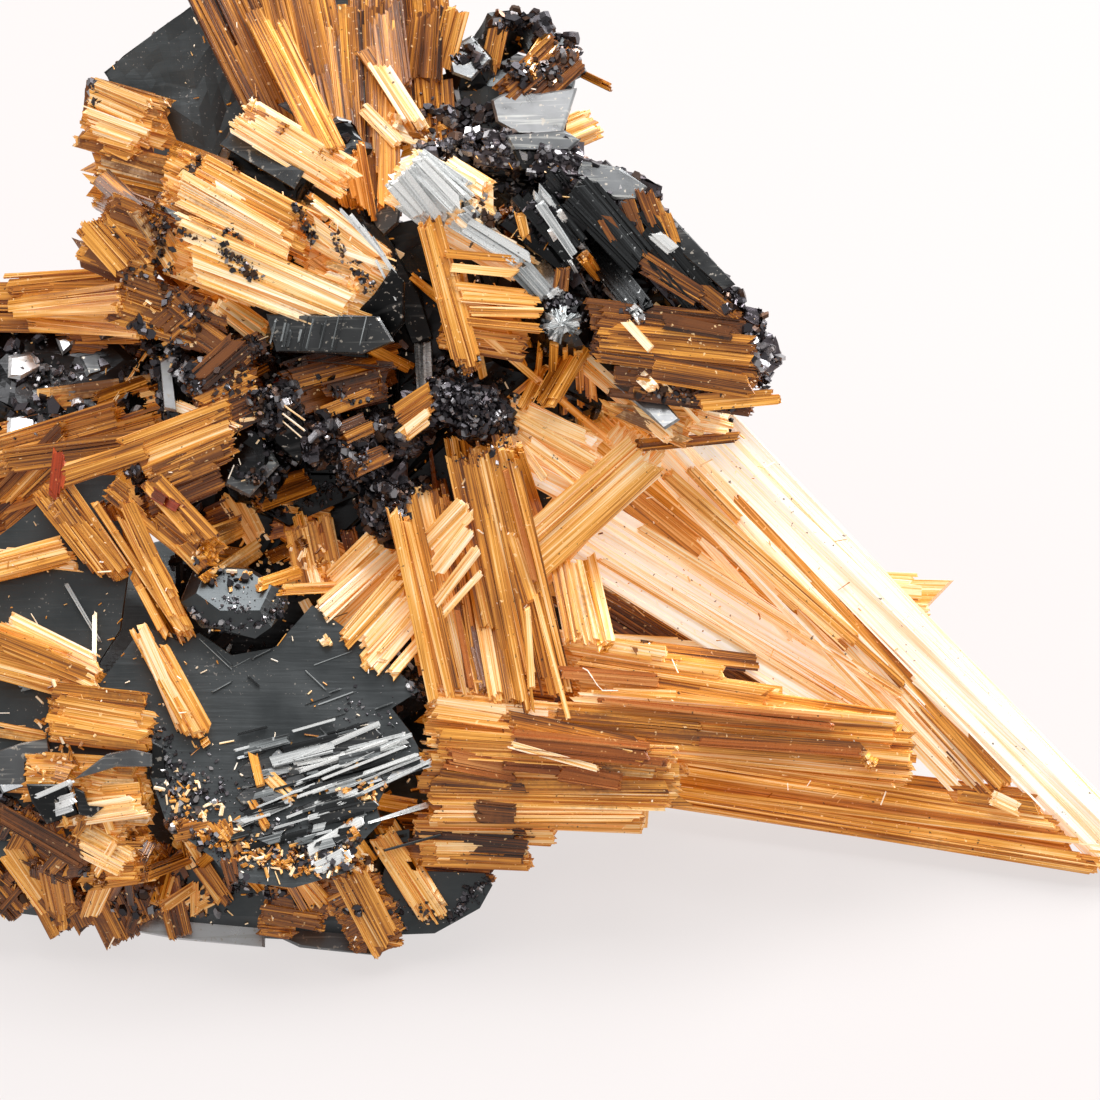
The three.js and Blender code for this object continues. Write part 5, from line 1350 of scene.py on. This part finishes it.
# streaks and thin terraces that all run one way on the star plate
STREAKS_ACROSS = (-12.6, -6.4)
STREAKS_UP = (-12.0, -7.2)
STREAK_RISE = 0.27
STREAK_LENGTHS = (0.4, 0.7, 1.1, 1.7, 2.4)
TERRACE_HALF_WIDTHS = (0.06, 0.12, 0.2, 0.3)
STREAK_WIDTHS = (0.04, 0.06, 0.12)
STREAK_TONES = (1.0, 0.6, 0.3, 0.1)
TERRACE_TONES = (0.15, 0.3, 0.42, 0.6)
plate_lines = Laths()
terraces = Facets()
rng = random.Random(9)
for number in range(100):
    start_right, start_up = rng.uniform(*STREAKS_ACROSS), rng.uniform(*STREAKS_UP)
    length, half_width = rng.choice(STREAK_LENGTHS), rng.choice(TERRACE_HALF_WIDTHS)
    end_right, end_up = start_right + length, start_up + length * STREAK_RISE
    nears = [landing(start_right, start_up)[0], landing(end_right, end_up)[0]]
    if None in nears or abs(nears[0] - nears[1]) > length or length < 2 * half_width:
        continue
    if number % 3:
        lay_sheaf(plate_lines, (start_right, start_up), (end_right, end_up),
                  rng.choice(STREAK_WIDTHS), (rng.choice(STREAK_TONES), 0.2, 0.1), 300 + number,
                  thick=0.05, lift=0.22, ragged=0.5)
    else:
        terraces.add(((start_right, start_up - half_width), (end_right, end_up - half_width),
                      (end_right + half_width, end_up), (end_right, end_up + half_width),
                      (start_right, start_up + half_width), (start_right - half_width, start_up)),
                     rng.choice(TERRACE_TONES), lean=(0.0, rng.uniform(-0.6, -0.1)),
                     lift=rng.uniform(0.05, 0.2), thick=0.4, rim=0.05)
for outline, tone, lean, lift in (
    (((-22.0, -8.0), (-21.1, -7.7), (-20.0, -7.5), (-19.9, -8.2), (-20.9, -8.5), (-20.9, -9.4),
      (-22.0, -9.6)), 0.38, -0.2, 0.7),
    (((-17.6, -8.1), (-16.6, -7.9), (-15.8, -8.1), (-15.8, -8.6), (-17.2, -8.6), (-18.2, -8.9),
      (-18.9, -9.1)), 0.35, -0.2, 0.7),
    (((-20.8, -9.3), (-19.2, -9.3), (-18.7, -10.5), (-20.0, -10.9), (-20.6, -10.0)), 0.05, 0.2, 0.6),
    (((-18.9, -9.4), (-18.5, -9.6), (-18.3, -10.2), (-17.7, -10.2), (-18.2, -10.6),
      (-18.7, -10.5)), 0.08, 0.0, 0.7),
    (((-22.0, -9.3), (-21.1, -9.1), (-20.9, -9.4), (-21.8, -9.7)), 0.55, -0.5, 0.8),
    (((-15.8, -7.6), (-15.4, -7.8), (-15.2, -9.6), (-15.6, -10.0), (-15.9, -9.2)), 0.05, 0.2, 0.4),
):
    terraces.add(outline, tone, lean=(0.0, lean), lift=lift, thick=0.8, rim=0.08)
# two smooth edges of the plate that the specimen stands on, painted pale as a painted reflection of the
# floor
terraces.add(((-20.4, -14.0), (-17.2, -13.8), (-12.6, -13.7), (-11.5, -14.2), (-11.4, -15.9),
              (-14.8, -15.6), (-17.6, -15.1), (-20.1, -14.6)), 0.9,
             lean=(0.0, -0.2), near=-0.3, thick=2.0)
terraces.add(((-12.9, -13.8), (-11.5, -14.2), (-10.0, -14.6), (-6.6, -15.5), (-6.6, -15.8),
              (-7.1, -16.2), (-10.0, -15.9), (-11.5, -15.2)), 0.5,
             lean=(0.0, -0.3), near=-0.1, thick=2.0)
terraces.finish("hematite_terraces", FACES_PAINTED_LIGHT_AND_DARK, "hematite")
# the brightest silver streaks: start, end, width and tone
for number, (start, end, width, tone) in enumerate((
    ((-10.7, -8.4), (-7.2, -7.3), 0.12, 1.1), ((-10.2, -8.7), (-5.6, -7.6), 0.3, 1.1),
    ((-9.0, -9.6), (-4.9, -8.5), 0.35, 1.1), ((-9.3, -10.4), (-7.6, -9.6), 0.3, 1.0),
    ((-9.8, -12.1), (-7.4, -10.8), 0.5, 1.2), ((-9.3, -12.7), (-7.9, -12.0), 0.5, 1.2),
    ((-12.4, -10.9), (-10.0, -9.9), 0.3, 0.9), ((-20.4, -10.0), (-19.0, -9.5), 0.4, 1.1),
    ((-6.6, -3.6), (-5.5, -4.7), 0.15, 0.9), ((-12.8, -3.6), (-13.5, -5.2), 0.04, 0.8),
    ((-19.6, -1.0), (-18.0, -3.6), 0.05, 0.8), ((-21.2, -5.6), (-19.6, -5.2), 0.1, 0.7),
)):
    lay_sheaf(plate_lines, start, end, width, (tone, 0.2, 0.1), 500 + number, thick=0.1, lift=0.1)
for number, (start, end, width) in enumerate((
    ((-10.1, -9.3), (-5.5, -7.4), 0.1), ((-9.9, -8.8), (-6.5, -7.6), 0.08),
    ((-9.4, -9.6), (-5.3, -8.1), 0.14), ((-8.4, -10.1), (-4.8, -8.4), 0.1),
    ((-9.9, -8.2), (-7.5, -7.2), 0.08), ((-9.0, -9.1), (-5.8, -7.8), 0.04),
    ((-8.0, -9.4), (-5.2, -8.2), 0.04), ((-9.2, -8.0), (-6.8, -7.0), 0.04),
    ((-11.6, -10.2), (-9.4, -9.3), 0.05), ((-10.4, -10.6), (-8.6, -9.9), 0.06),
    ((-8.2, -8.6), (-6.0, -7.6), 0.05), ((-10.0, -9.8), (-8.4, -9.2), 0.08),
)):
    lay_sheaf(plate_lines, start, end, width, (1.1, 0.15, 0.05), 560 + number, thick=0.24,
              fineness=0.04, lift=0.24, ragged=0.2)
# faint hairlines on the upper half of the star plate
HAIRLINE_TURNS = (0.35, 0.5, -0.75)
for number in range(26):
    right, up = rng.uniform(-14.0, -5.5), rng.uniform(-7.5, -3.0)
    turn = rng.choice(HAIRLINE_TURNS)
    length = rng.uniform(0.4, 2.2)
    ends = (right, up), (right + length * math.cos(turn), up + length * math.sin(turn))
    nears = [landing(*end)[0] for end in ends]
    if None not in nears and abs(nears[0] - nears[1]) < length:
        lay_sheaf(plate_lines, *ends, 0.02, (rng.uniform(0.3, 0.7), 0.2, 0.1), 600 + number,
                  thick=0.02, fineness=0.012, lift=0.015)
plate_lines.finish("hematite_plate_lines", SILVER, "hematite")
# a jumble of short blocks at the lower left corner
JUMBLE_ACROSS = (-21.8, -12.6)
JUMBLE_UP = (-14.6, -10.4)
JUMBLE_LOOKS = (GOLDEN, ORANGE, BROWN, BROWN, DARK, DARK)
jumble = Laths()
for number in range(80):
    right, up = rng.uniform(*JUMBLE_ACROSS), rng.uniform(*JUMBLE_UP)
    turn, length = rng.gauss(-math.pi / 2, 0.7), rng.choice((0.5, 0.8, 1.2, 1.7))
    end_right, end_up = right + length * math.cos(turn), up + length * math.sin(turn)
    if landing(right, up)[0] is not None and landing(end_right, end_up)[0] is not None:
        lay_sheaf(jumble, (right, up), (end_right, end_up), rng.choice((0.2, 0.35, 0.6)),
                  rng.choice(JUMBLE_LOOKS), 700 + number, thick=0.3, lift=0.2)
jumble.finish("rutile_jumble", RUTILE, "rutile_brown")
crystals = Tablets()
crust_patches(crystals, (
    (((-15.2, -10.6), (-12.6, -12.0), (-8.8, -12.3), (-7.6, -12.0)), 0.7, 420, 0.2, 41, 0.4, 0.6,
     0),
    (((-10.0, -12.0), (-7.9, -12.6)), 0.5, 140, 0.22, 42, 0.05, 0.9, 0),
    (((-5.7, -4.7), (-5.2, -6.0)), 0.25, 80, 0.2, 43, 0.05, 0.9, 0),
    (((-14.4, -2.3), (-13.4, -3.1), (-11.6, -3.0), (-10.4, -2.0)), 0.25, 180, 0.16, 44, 0.2, 0.6,
     0),
    (((-13.0, -2.0), (-12.0, -2.3)), 0.4, 120, 0.1, 45, 0.1, 0.7, 0),
    (((-14.8, -0.4), (-13.4, -1.0), (-10.0, -1.2)), 0.4, 120, 0.22, 46, 0.2, 0.35, 0),
    (((-15.6, -7.2), (-15.0, -9.6), (-13.4, -10.0)), 0.8, 260, 0.18, 47, 0.2, 0.5, 0),
    (((-22.0, -9.6), (-19.6, -11.8), (-18.4, -12.8)), 0.5, 260, 0.24, 48, 0.5, 0.35, 0),
    (((-12.8, -13.2), (-8.8, -14.2), (-4.0, -14.6), (-2.4, -13.2)), 0.4, 260, 0.22, 49, 0.2, 0.5,
     0),
    (((-12.0, -8.6), (-10.6, -9.2)), 0.4, 90, 0.14, 50, 0.6, 0.9, 0),
    (((-21.2, -13.2), (-17.2, -14.0), (-12.8, -14.0)), 0.8, 260, 0.26, 40, 0.5, 0.35, 0),
    (((-14.8, -8.4), (-12.0, -10.0), (-9.2, -11.6)), 1.2, 260, 0.12, 57, 0.2, 1.0, 0),
    (((-8.4, -6.0), (-6.0, -6.8), (-6.0, -9.2)), 0.9, 160, 0.1, 58, 0.1, 1.0, 0),
))
crystals.finish("hematite_plate_crystals", CRUST, "hematite")

# Behind: a big dark crystal with blocks of rutile at the left, a tall fan of rutile in the
# middle, and hematite with brown laths at the right.
for name, depth in (("hematite_back_crystal", 0.25), ("hematite_back_cluster", 0.3)):
    frame["nodes"][name].material_slots[0].material = GREY_FACES
    roughen(name, 3, depth, 1.6, 0.15)
fill_nodes((
    ("rutile_back_blocks", 0.11, (0.62, 0.24, 0.75)),
    ("rutile_fan_left", 0.13, (0.26, 0.16, 0.2), {"ragged": 0.3}),
    ("rutile_fan_middle", 0.12, (0.36, 0.2, 0.2), {"ragged": 0.3}),
    ("rutile_fan_right", 0.12, (0.3, 0.2, 0.2), {"ragged": 0.3}),
    ("rutile_back_tuft", 0.11, (0.34, 0.18, 0.6)),
    ("rutile_back_cluster_laths", 0.11, (0.24, 0.24, 0.7)),
))
lay_all("rutile_back_details", RUTILE, "rutile_gold", (
    ((-18.6, 15.8), (-15.6, 14.4), 1.6, BROWN, 0.15),
    ((-18.2, 14.4), (-16.4, 13.4), 1.2, BROWN, 0.15),
    ((-15.6, 16.0), (-13.0, 14.8), 1.2, BROWN, 0.15),
    ((-18.6, 17.8), (-16.4, 16.8), 1.0, TAN, 0.15),
    ((-18.6, 18.7), (-16.5, 17.8), 1.1, TAN, 0.35),
    ((-18.8, 17.5), (-16.6, 16.7), 0.9, TAN, 0.35),
    ((-18.3, 16.5), (-16.8, 16.0), 0.5, GOLDEN, 0.3),
    ((-8.2, 13.8), (-9.6, 19.6), 1.0, BROWN, 0.15),
    ((-7.8, 13.8), (-8.6, 21.2), 0.8, ORANGE, 0.15),
    ((-7.4, 13.8), (-7.9, 22.0), 0.9, BROWN, 0.15),
    ((-7.0, 13.8), (-7.1, 22.0), 0.9, BROWN, 0.15),
    ((-6.6, 13.8), (-6.4, 21.2), 0.7, ORANGE, 0.15),
    ((-8.8, 16.0), (-11.8, 22.0), 1.2, (0.44, 0.2, 0.2), 0.2),
    ((-7.0, 19.6), (-5.4, 17.1), 0.6, CREAM, 0.4),
    ((-7.5, 17.8), (-6.1, 16.4), 0.5, CREAM, 0.3),
    ((-7.9, 16.0), (-7.5, 13.7), 0.9, GOLDEN, 0.3),
    ((-6.2, 18.8), (-6.6, 22.0), 1.2, BROWN, 0.15),
    ((-5.2, 19.2), (-5.0, 22.0), 1.6, BROWN, 0.15),
    ((-4.4, 19.6), (-3.8, 22.0), 0.9, ORANGE, 0.15),
    ((-2.4, 19.6), (-2.0, 21.4), 0.6, ORANGE, 0.15),
    ((-0.8, 19.6), (0.0, 21.0), 0.8, ORANGE, 0.15),
    ((-0.1, 19.2), (1.0, 20.5), 0.7, BROWN, 0.15),
    ((-6.0, 16.4), (-4.4, 17.0), 0.7, TAN, 0.2),
    ((-6.2, 17.0), (-5.0, 16.6), 0.7, CREAM, 0.3, {"ragged": 2}),
    ((-18.3, 15.2), (-16.0, 13.0), 0.8, (0.2, 0.2, 0.7), 0.3),
))
crystals = Tablets()
crust_patches(crystals, (
    (((-4.2, 20.2), (-2.4, 20.0)), 0.5, 120, 0.3, 51, 0.25, 0.6, 0),
    (((-2.4, 21.4), (-0.8, 21.7), (0.4, 21.2), (1.1, 20.2)), 0.5, 260, 0.34, 52, 0.5, 0.35, 0),
    (((-4.2, 17.6), (-2.4, 17.8)), 0.5, 140, 0.28, 53, 0.25, 0.6, 0),
    (((-4.8, 18.0), (-3.2, 17.2)), 0.5, 140, 0.28, 55, 0.3, 0.35, 0),
    (((-2.0, 20.0), (-0.8, 19.2), (0.4, 19.6)), 0.5, 200, 0.26, 56, 0.6, 0.35, 0),
    (((-18.9, 19.6), (-18.4, 18.0)), 0.3, 60, 0.3, 54, 0.4, 0.35, 0),
))
crystals.finish("hematite_back_crystals", CRUST, "hematite_crust")
lay_faces("hematite_back_faces", (
    (((-2.4, 18.3), (-1.5, 18.8), (-0.4, 18.6), (1.1, 18.8), (0.4, 16.6), (-1.2, 16.8),
      (-2.2, 17.4)),
     0.59, (0.05, -0.38), 1.6, {"thick": 2.4}),
    (((-4.2, 20.4), (-3.2, 21.0), (-2.4, 20.0), (-3.2, 19.1), (-4.0, 19.4)), 0.5, (0.0, -0.45),
     0.4),
    (((-4.1, 19.2), (-3.8, 19.3), (-3.6, 18.3), (-3.8, 18.2)), 1.0, (0.0, 0.0), 0.3),
    (((-9.1, 17.1), (-8.6, 17.5), (-8.0, 17.3), (-7.7, 16.3), (-8.0, 15.4), (-8.8, 15.6)), 0.35,
     (0.0, 0.0), 0.5),
))

# The far left spray: three sheaves of golden-brown rutile blades, grown over a dark hematite
# crystal with white glints. A few short laths there are red.
frame["nodes"]["hematite_spray_plate"].material_slots[0].material = BLACK_FACES
roughen("hematite_spray_plate", 3, 0.5, 1.4, 0.15)
fill_nodes((
    ("rutile_spray_upper", 0.12, (0.34, 0.24, 0.4)),
    ("rutile_spray_lower", 0.12, (0.5, 0.2, 0.5)),
    ("rutile_spray_foot", 0.12, (0.5, 0.2, 0.5)),
))
lay_all("rutile_left_spray_details", RUTILE, "rutile_gold", (
    ((-22.0, 10.6), (-17.5, 10.9), 1.0, ORANGE, 0.3),
    ((-22.0, 9.8), (-17.2, 10.0), 0.8, (0.54, 0.26, 0.3), 0.3),
    ((-21.2, 9.3), (-16.4, 8.8), 0.8, GOLDEN, 0.2),
    ((-19.6, 8.2), (-16.2, 7.8), 0.8, BROWN, 0.2),
    ((-16.4, 8.0), (-19.6, 3.2), 0.06, TAN, 0.6, {"thick": 0.06, "fineness": 0.04}),
    ((-18.2, 6.0), (-16.0, 6.8), 0.7, BROWN, 0.3),
    ((-22.0, 4.8), (-16.0, 6.2), 0.8, GOLDEN, 0.4),
    ((-22.0, 3.6), (-16.0, 4.4), 1.0, ORANGE, 0.4),
    ((-19.6, 2.8), (-16.0, 4.0), 0.7, ORANGE, 0.4),
    ((-22.0, 2.0), (-19.6, 4.4), 1.0, ORANGE, 0.3),
    ((-20.4, 6.0), (-16.0, 6.6), 0.5, DULL, 0.3),
    ((-17.6, 3.2), (-15.6, 4.8), 0.9, GOLDEN, 0.3),
    ((-22.0, 0.9, -5.2), (-19.8, 2.8, -5.0), 1.8, BROWN, 0),
))
RED_SHADES = (
    (0.0, (0.08, 0.008, 0.002, 1)),
    (0.5, (0.42, 0.05, 0.008, 1)),
    (1.0, (0.75, 0.2, 0.05, 1)),
)
RED_RUTILE = striped_material("red rutile", RED_SHADES, 0.25, 0.1,
                              (0.1, 0.02, 0.004, 1), (0.8, 0.3, 0.1, 1))[0]
lay_all("rutile_red_tips", RED_RUTILE, "rutile_brown", (
    ((-19.7, 2.2, 1.3), (-19.5, 3.8, 1.2), 0.25, GOLDEN, 0),
    ((-19.5, 2.5, 1.3), (-19.3, 3.5, 1.2), 0.15, GOLDEN, 0),
    ((-15.9, 2.3), (-14.9, 1.7), 0.4, BROWN, 0.45, {"ragged": 3}),
    ((-11.0, 6.6), (-9.8, 5.8), 0.35, ORANGE, 0.5),
))
crystals = Tablets()
crust_over(crystals, "hematite_spray_plate", 300, 0.4, 61, brown=0.1, bright=0.6)
crust_patches(crystals, (
    (((-21.6, 8.0), (-19.6, 6.8), (-20.8, 5.2)), 0.9, 140, 0.3, 62, 0.05, 1.0, 0),
))
crystals.finish("hematite_spray_crystals", CRUST, "hematite")

# white glints: plates painted pale and turned to mirror the light above, a painted highlight on top of
# the real reflection
glints = Facets()
for outline, tone in (
    (((-22.0, 7.9), (-21.0, 8.1), (-20.5, 7.5), (-21.5, 6.9), (-22.0, 7.0)), 1.0),
    (((-22.0, 5.4), (-21.1, 5.7), (-20.4, 5.0), (-21.2, 4.5), (-22.0, 4.6)), 1.0),
    (((-20.1, 8.6), (-19.5, 8.8), (-19.3, 8.3), (-19.8, 7.9)), 0.8),
    (((-19.4, 6.2), (-19.0, 6.3), (-18.8, 5.9), (-19.4, 5.8)), 1.0),
    (((-21.0, 6.5), (-20.0, 6.8), (-19.8, 6.3), (-20.8, 6.0)), 0.5),
    (((-19.2, 7.9), (-17.8, 8.2), (-17.5, 7.4), (-18.8, 7.0)), 0.2),
    (((-18.6, 9.3), (-17.5, 9.5), (-17.1, 8.8), (-18.2, 8.5)), 0.25),
    (((-20.2, 5.8), (-19.8, 5.9), (-19.8, 5.4), (-20.3, 5.4)), 0.9),
):
    glints.add(outline, tone, lean=(-0.05, -0.65), lift=0.3, thick=0.6, rim=0.2)
glints.finish("hematite_glints", FACES_PAINTED_LIGHT_AND_DARK, "hematite")

# The rear, which grows much as the front does: sheaves of rutile, short tufts and a crust of small
# hematite crystals, out of the same dark plates.
fill_nodes((
    ("rutile_rear_sheaf", 0.12, (0.58, 0.2, 0.5)),
    ("rutile_rear_blades", 0.13, (0.78, 0.16, 0.3)),
    ("rutile_rear_left", 0.12, (0.44, 0.2, 0.6)),
))
crystals = Tablets()
for number, (name, count, size) in enumerate((
    ("hematite_base", 420, 0.42),
    ("hematite_back_crystal", 420, 0.42),
    ("hematite_back_cluster", 160, 0.36),
    ("hematite_spray_plate", 160, 0.36),
    ("hematite_star_plate", 120, 0.3),
)):
    crust_over(crystals, name, count, size, 90 + number, brown=0.4, bright=0.3, rear_only=True)
crystals.finish("hematite_rear_crystals", CRUST, "hematite_crust")
# short tufts of rutile, with their roots sunk into the hematite
TUFT_LENGTHS = (0.8, 1.2, 1.8, 2.6)
TUFT_HALVES = (0.2, 0.35, 0.6)
TUFT_ROOT = 0.3
tufts = Laths()
rng = random.Random(98)
for name, count in (("hematite_heart", 34), ("hematite_base", 26), ("hematite_back_cluster", 10),
                    ("hematite_back_crystal", 10)):
    for spot, normal in list(spots_on(name, count, rng, rear_only=True)):
        along = (normal + 0.7 * any_way(rng)).normalized()
        across = along.cross(any_way(rng)).normalized()
        facing = across.cross(along)
        length, half = rng.choice(TUFT_LENGTHS), rng.choice(TUFT_HALVES)
        shade = rng.uniform(0.1, 0.7)
        for u, t, width, thick in cells(-half, half, 0.0, half, 0.11, rng):
            root = spot - along * TUFT_ROOT + across * u - facing * t
            tip = root + along * (TUFT_ROOT + length * rng.uniform(0.7, 1))
            tufts.add(root, tip, across, facing, width, thick,
                      (shade + rng.uniform(-0.15, 0.15), rng.random(), 0.4, 1), rng)
tufts.finish("rutile_rear_tufts", RUTILE, "rutile_brown")

# Splinters and grains of rutile, broken off the laths, lie loose all over the front. They gather
# as crumbs along the edges of the plates, and the finest stick up.
SPLINTER_LENGTHS = (0.06, 0.08, 0.1, 0.14, 0.2, 0.3, 0.6)
CRUMB_LENGTHS = (0.1, 0.15, 0.25, 0.4)
splinters = Laths()
rng = random.Random(77)
for _ in range(1100):
    right, up = rng.uniform(-21.9, 14), rng.uniform(-16, 21.9)
    near, normal = landing(right, up)
    if near is None:
        continue
    along = (normal.cross(any_way(rng)) + normal * rng.uniform(0, 0.3)).normalized()
    length = rng.choice(SPLINTER_LENGTHS)
    middle = seen(right, up, near) + normal * 0.06
    facing = along.cross(any_way(rng)).normalized()
    splinters.add(middle - along * length / 2, middle + along * length / 2,
                  facing.cross(along), facing, rng.uniform(0.03, 0.07), rng.uniform(0.02, 0.05),
                  (rng.uniform(0.3, 1.2), rng.random(), 0.2, 1), rng)
# crumbs lie along these paths: start, end, reach and count
CRUMB_PATHS = (
    ((-15.2, -9.2), (-12.0, -12.0), 0.6, 90),
    ((-12.0, -12.0), (-7.2, -12.6), 0.6, 120),
    ((-8.8, -9.6), (-5.6, -9.6), 0.7, 50),
    ((-19.6, -6.0), (-19.6, -10.0), 1.0, 90),
    ((-14.4, -0.4), (-8.8, -0.4), 0.8, 70),
    ((-15.6, 9.6), (-11.6, 6.0), 1.4, 110),
)
for start, end, reach, count in CRUMB_PATHS:
    for _ in range(count):
        share = rng.random()
        right = start[0] + (end[0] - start[0]) * share + rng.gauss(0, reach * 0.6)
        up = start[1] + (end[1] - start[1]) * share + rng.gauss(0, reach * 0.6)
        near, normal = landing(right, up)
        if near is not None:
            spot, length = seen(right, up, near + 0.1), rng.choice(CRUMB_LENGTHS)
            along = (normal.cross(any_way(rng)) + normal * rng.uniform(-0.2, 0.4)).normalized()
            facing = along.cross(any_way(rng)).normalized()
            splinters.add(spot - along * length / 2, spot + along * length / 2,
                          facing.cross(along), facing, rng.uniform(0.06, 0.16), rng.uniform(0.05, 0.12),
                          (rng.uniform(0.2, 1.0), rng.random(), 0.4, 1), rng)
# one curled hair stands up from the level bundle
CURLED_HAIR = ((1.3, -4.7), (1.5, -4.8), (1.7, -5.1), (1.9, -5.4), (2.1, -5.6), (2.4, -5.6),
               (2.7, -5.6))
HAIR_THICKNESS = 0.045
hair_near = landing(*CURLED_HAIR[0])[0] + 0.45
for here, there in zip(CURLED_HAIR, CURLED_HAIR[1:]):
    start, end = seen(*here, hair_near), seen(*there, hair_near)
    across = TOWARDS_VIEWER.cross(end - start).normalized()
    splinters.add(start, end, across, TOWARDS_VIEWER, HAIR_THICKNESS, HAIR_THICKNESS,
                  (1.2, 0.5, 0.1, 1), rng)
splinters.finish("rutile_splinters", RUTILE, "rutile_pale")
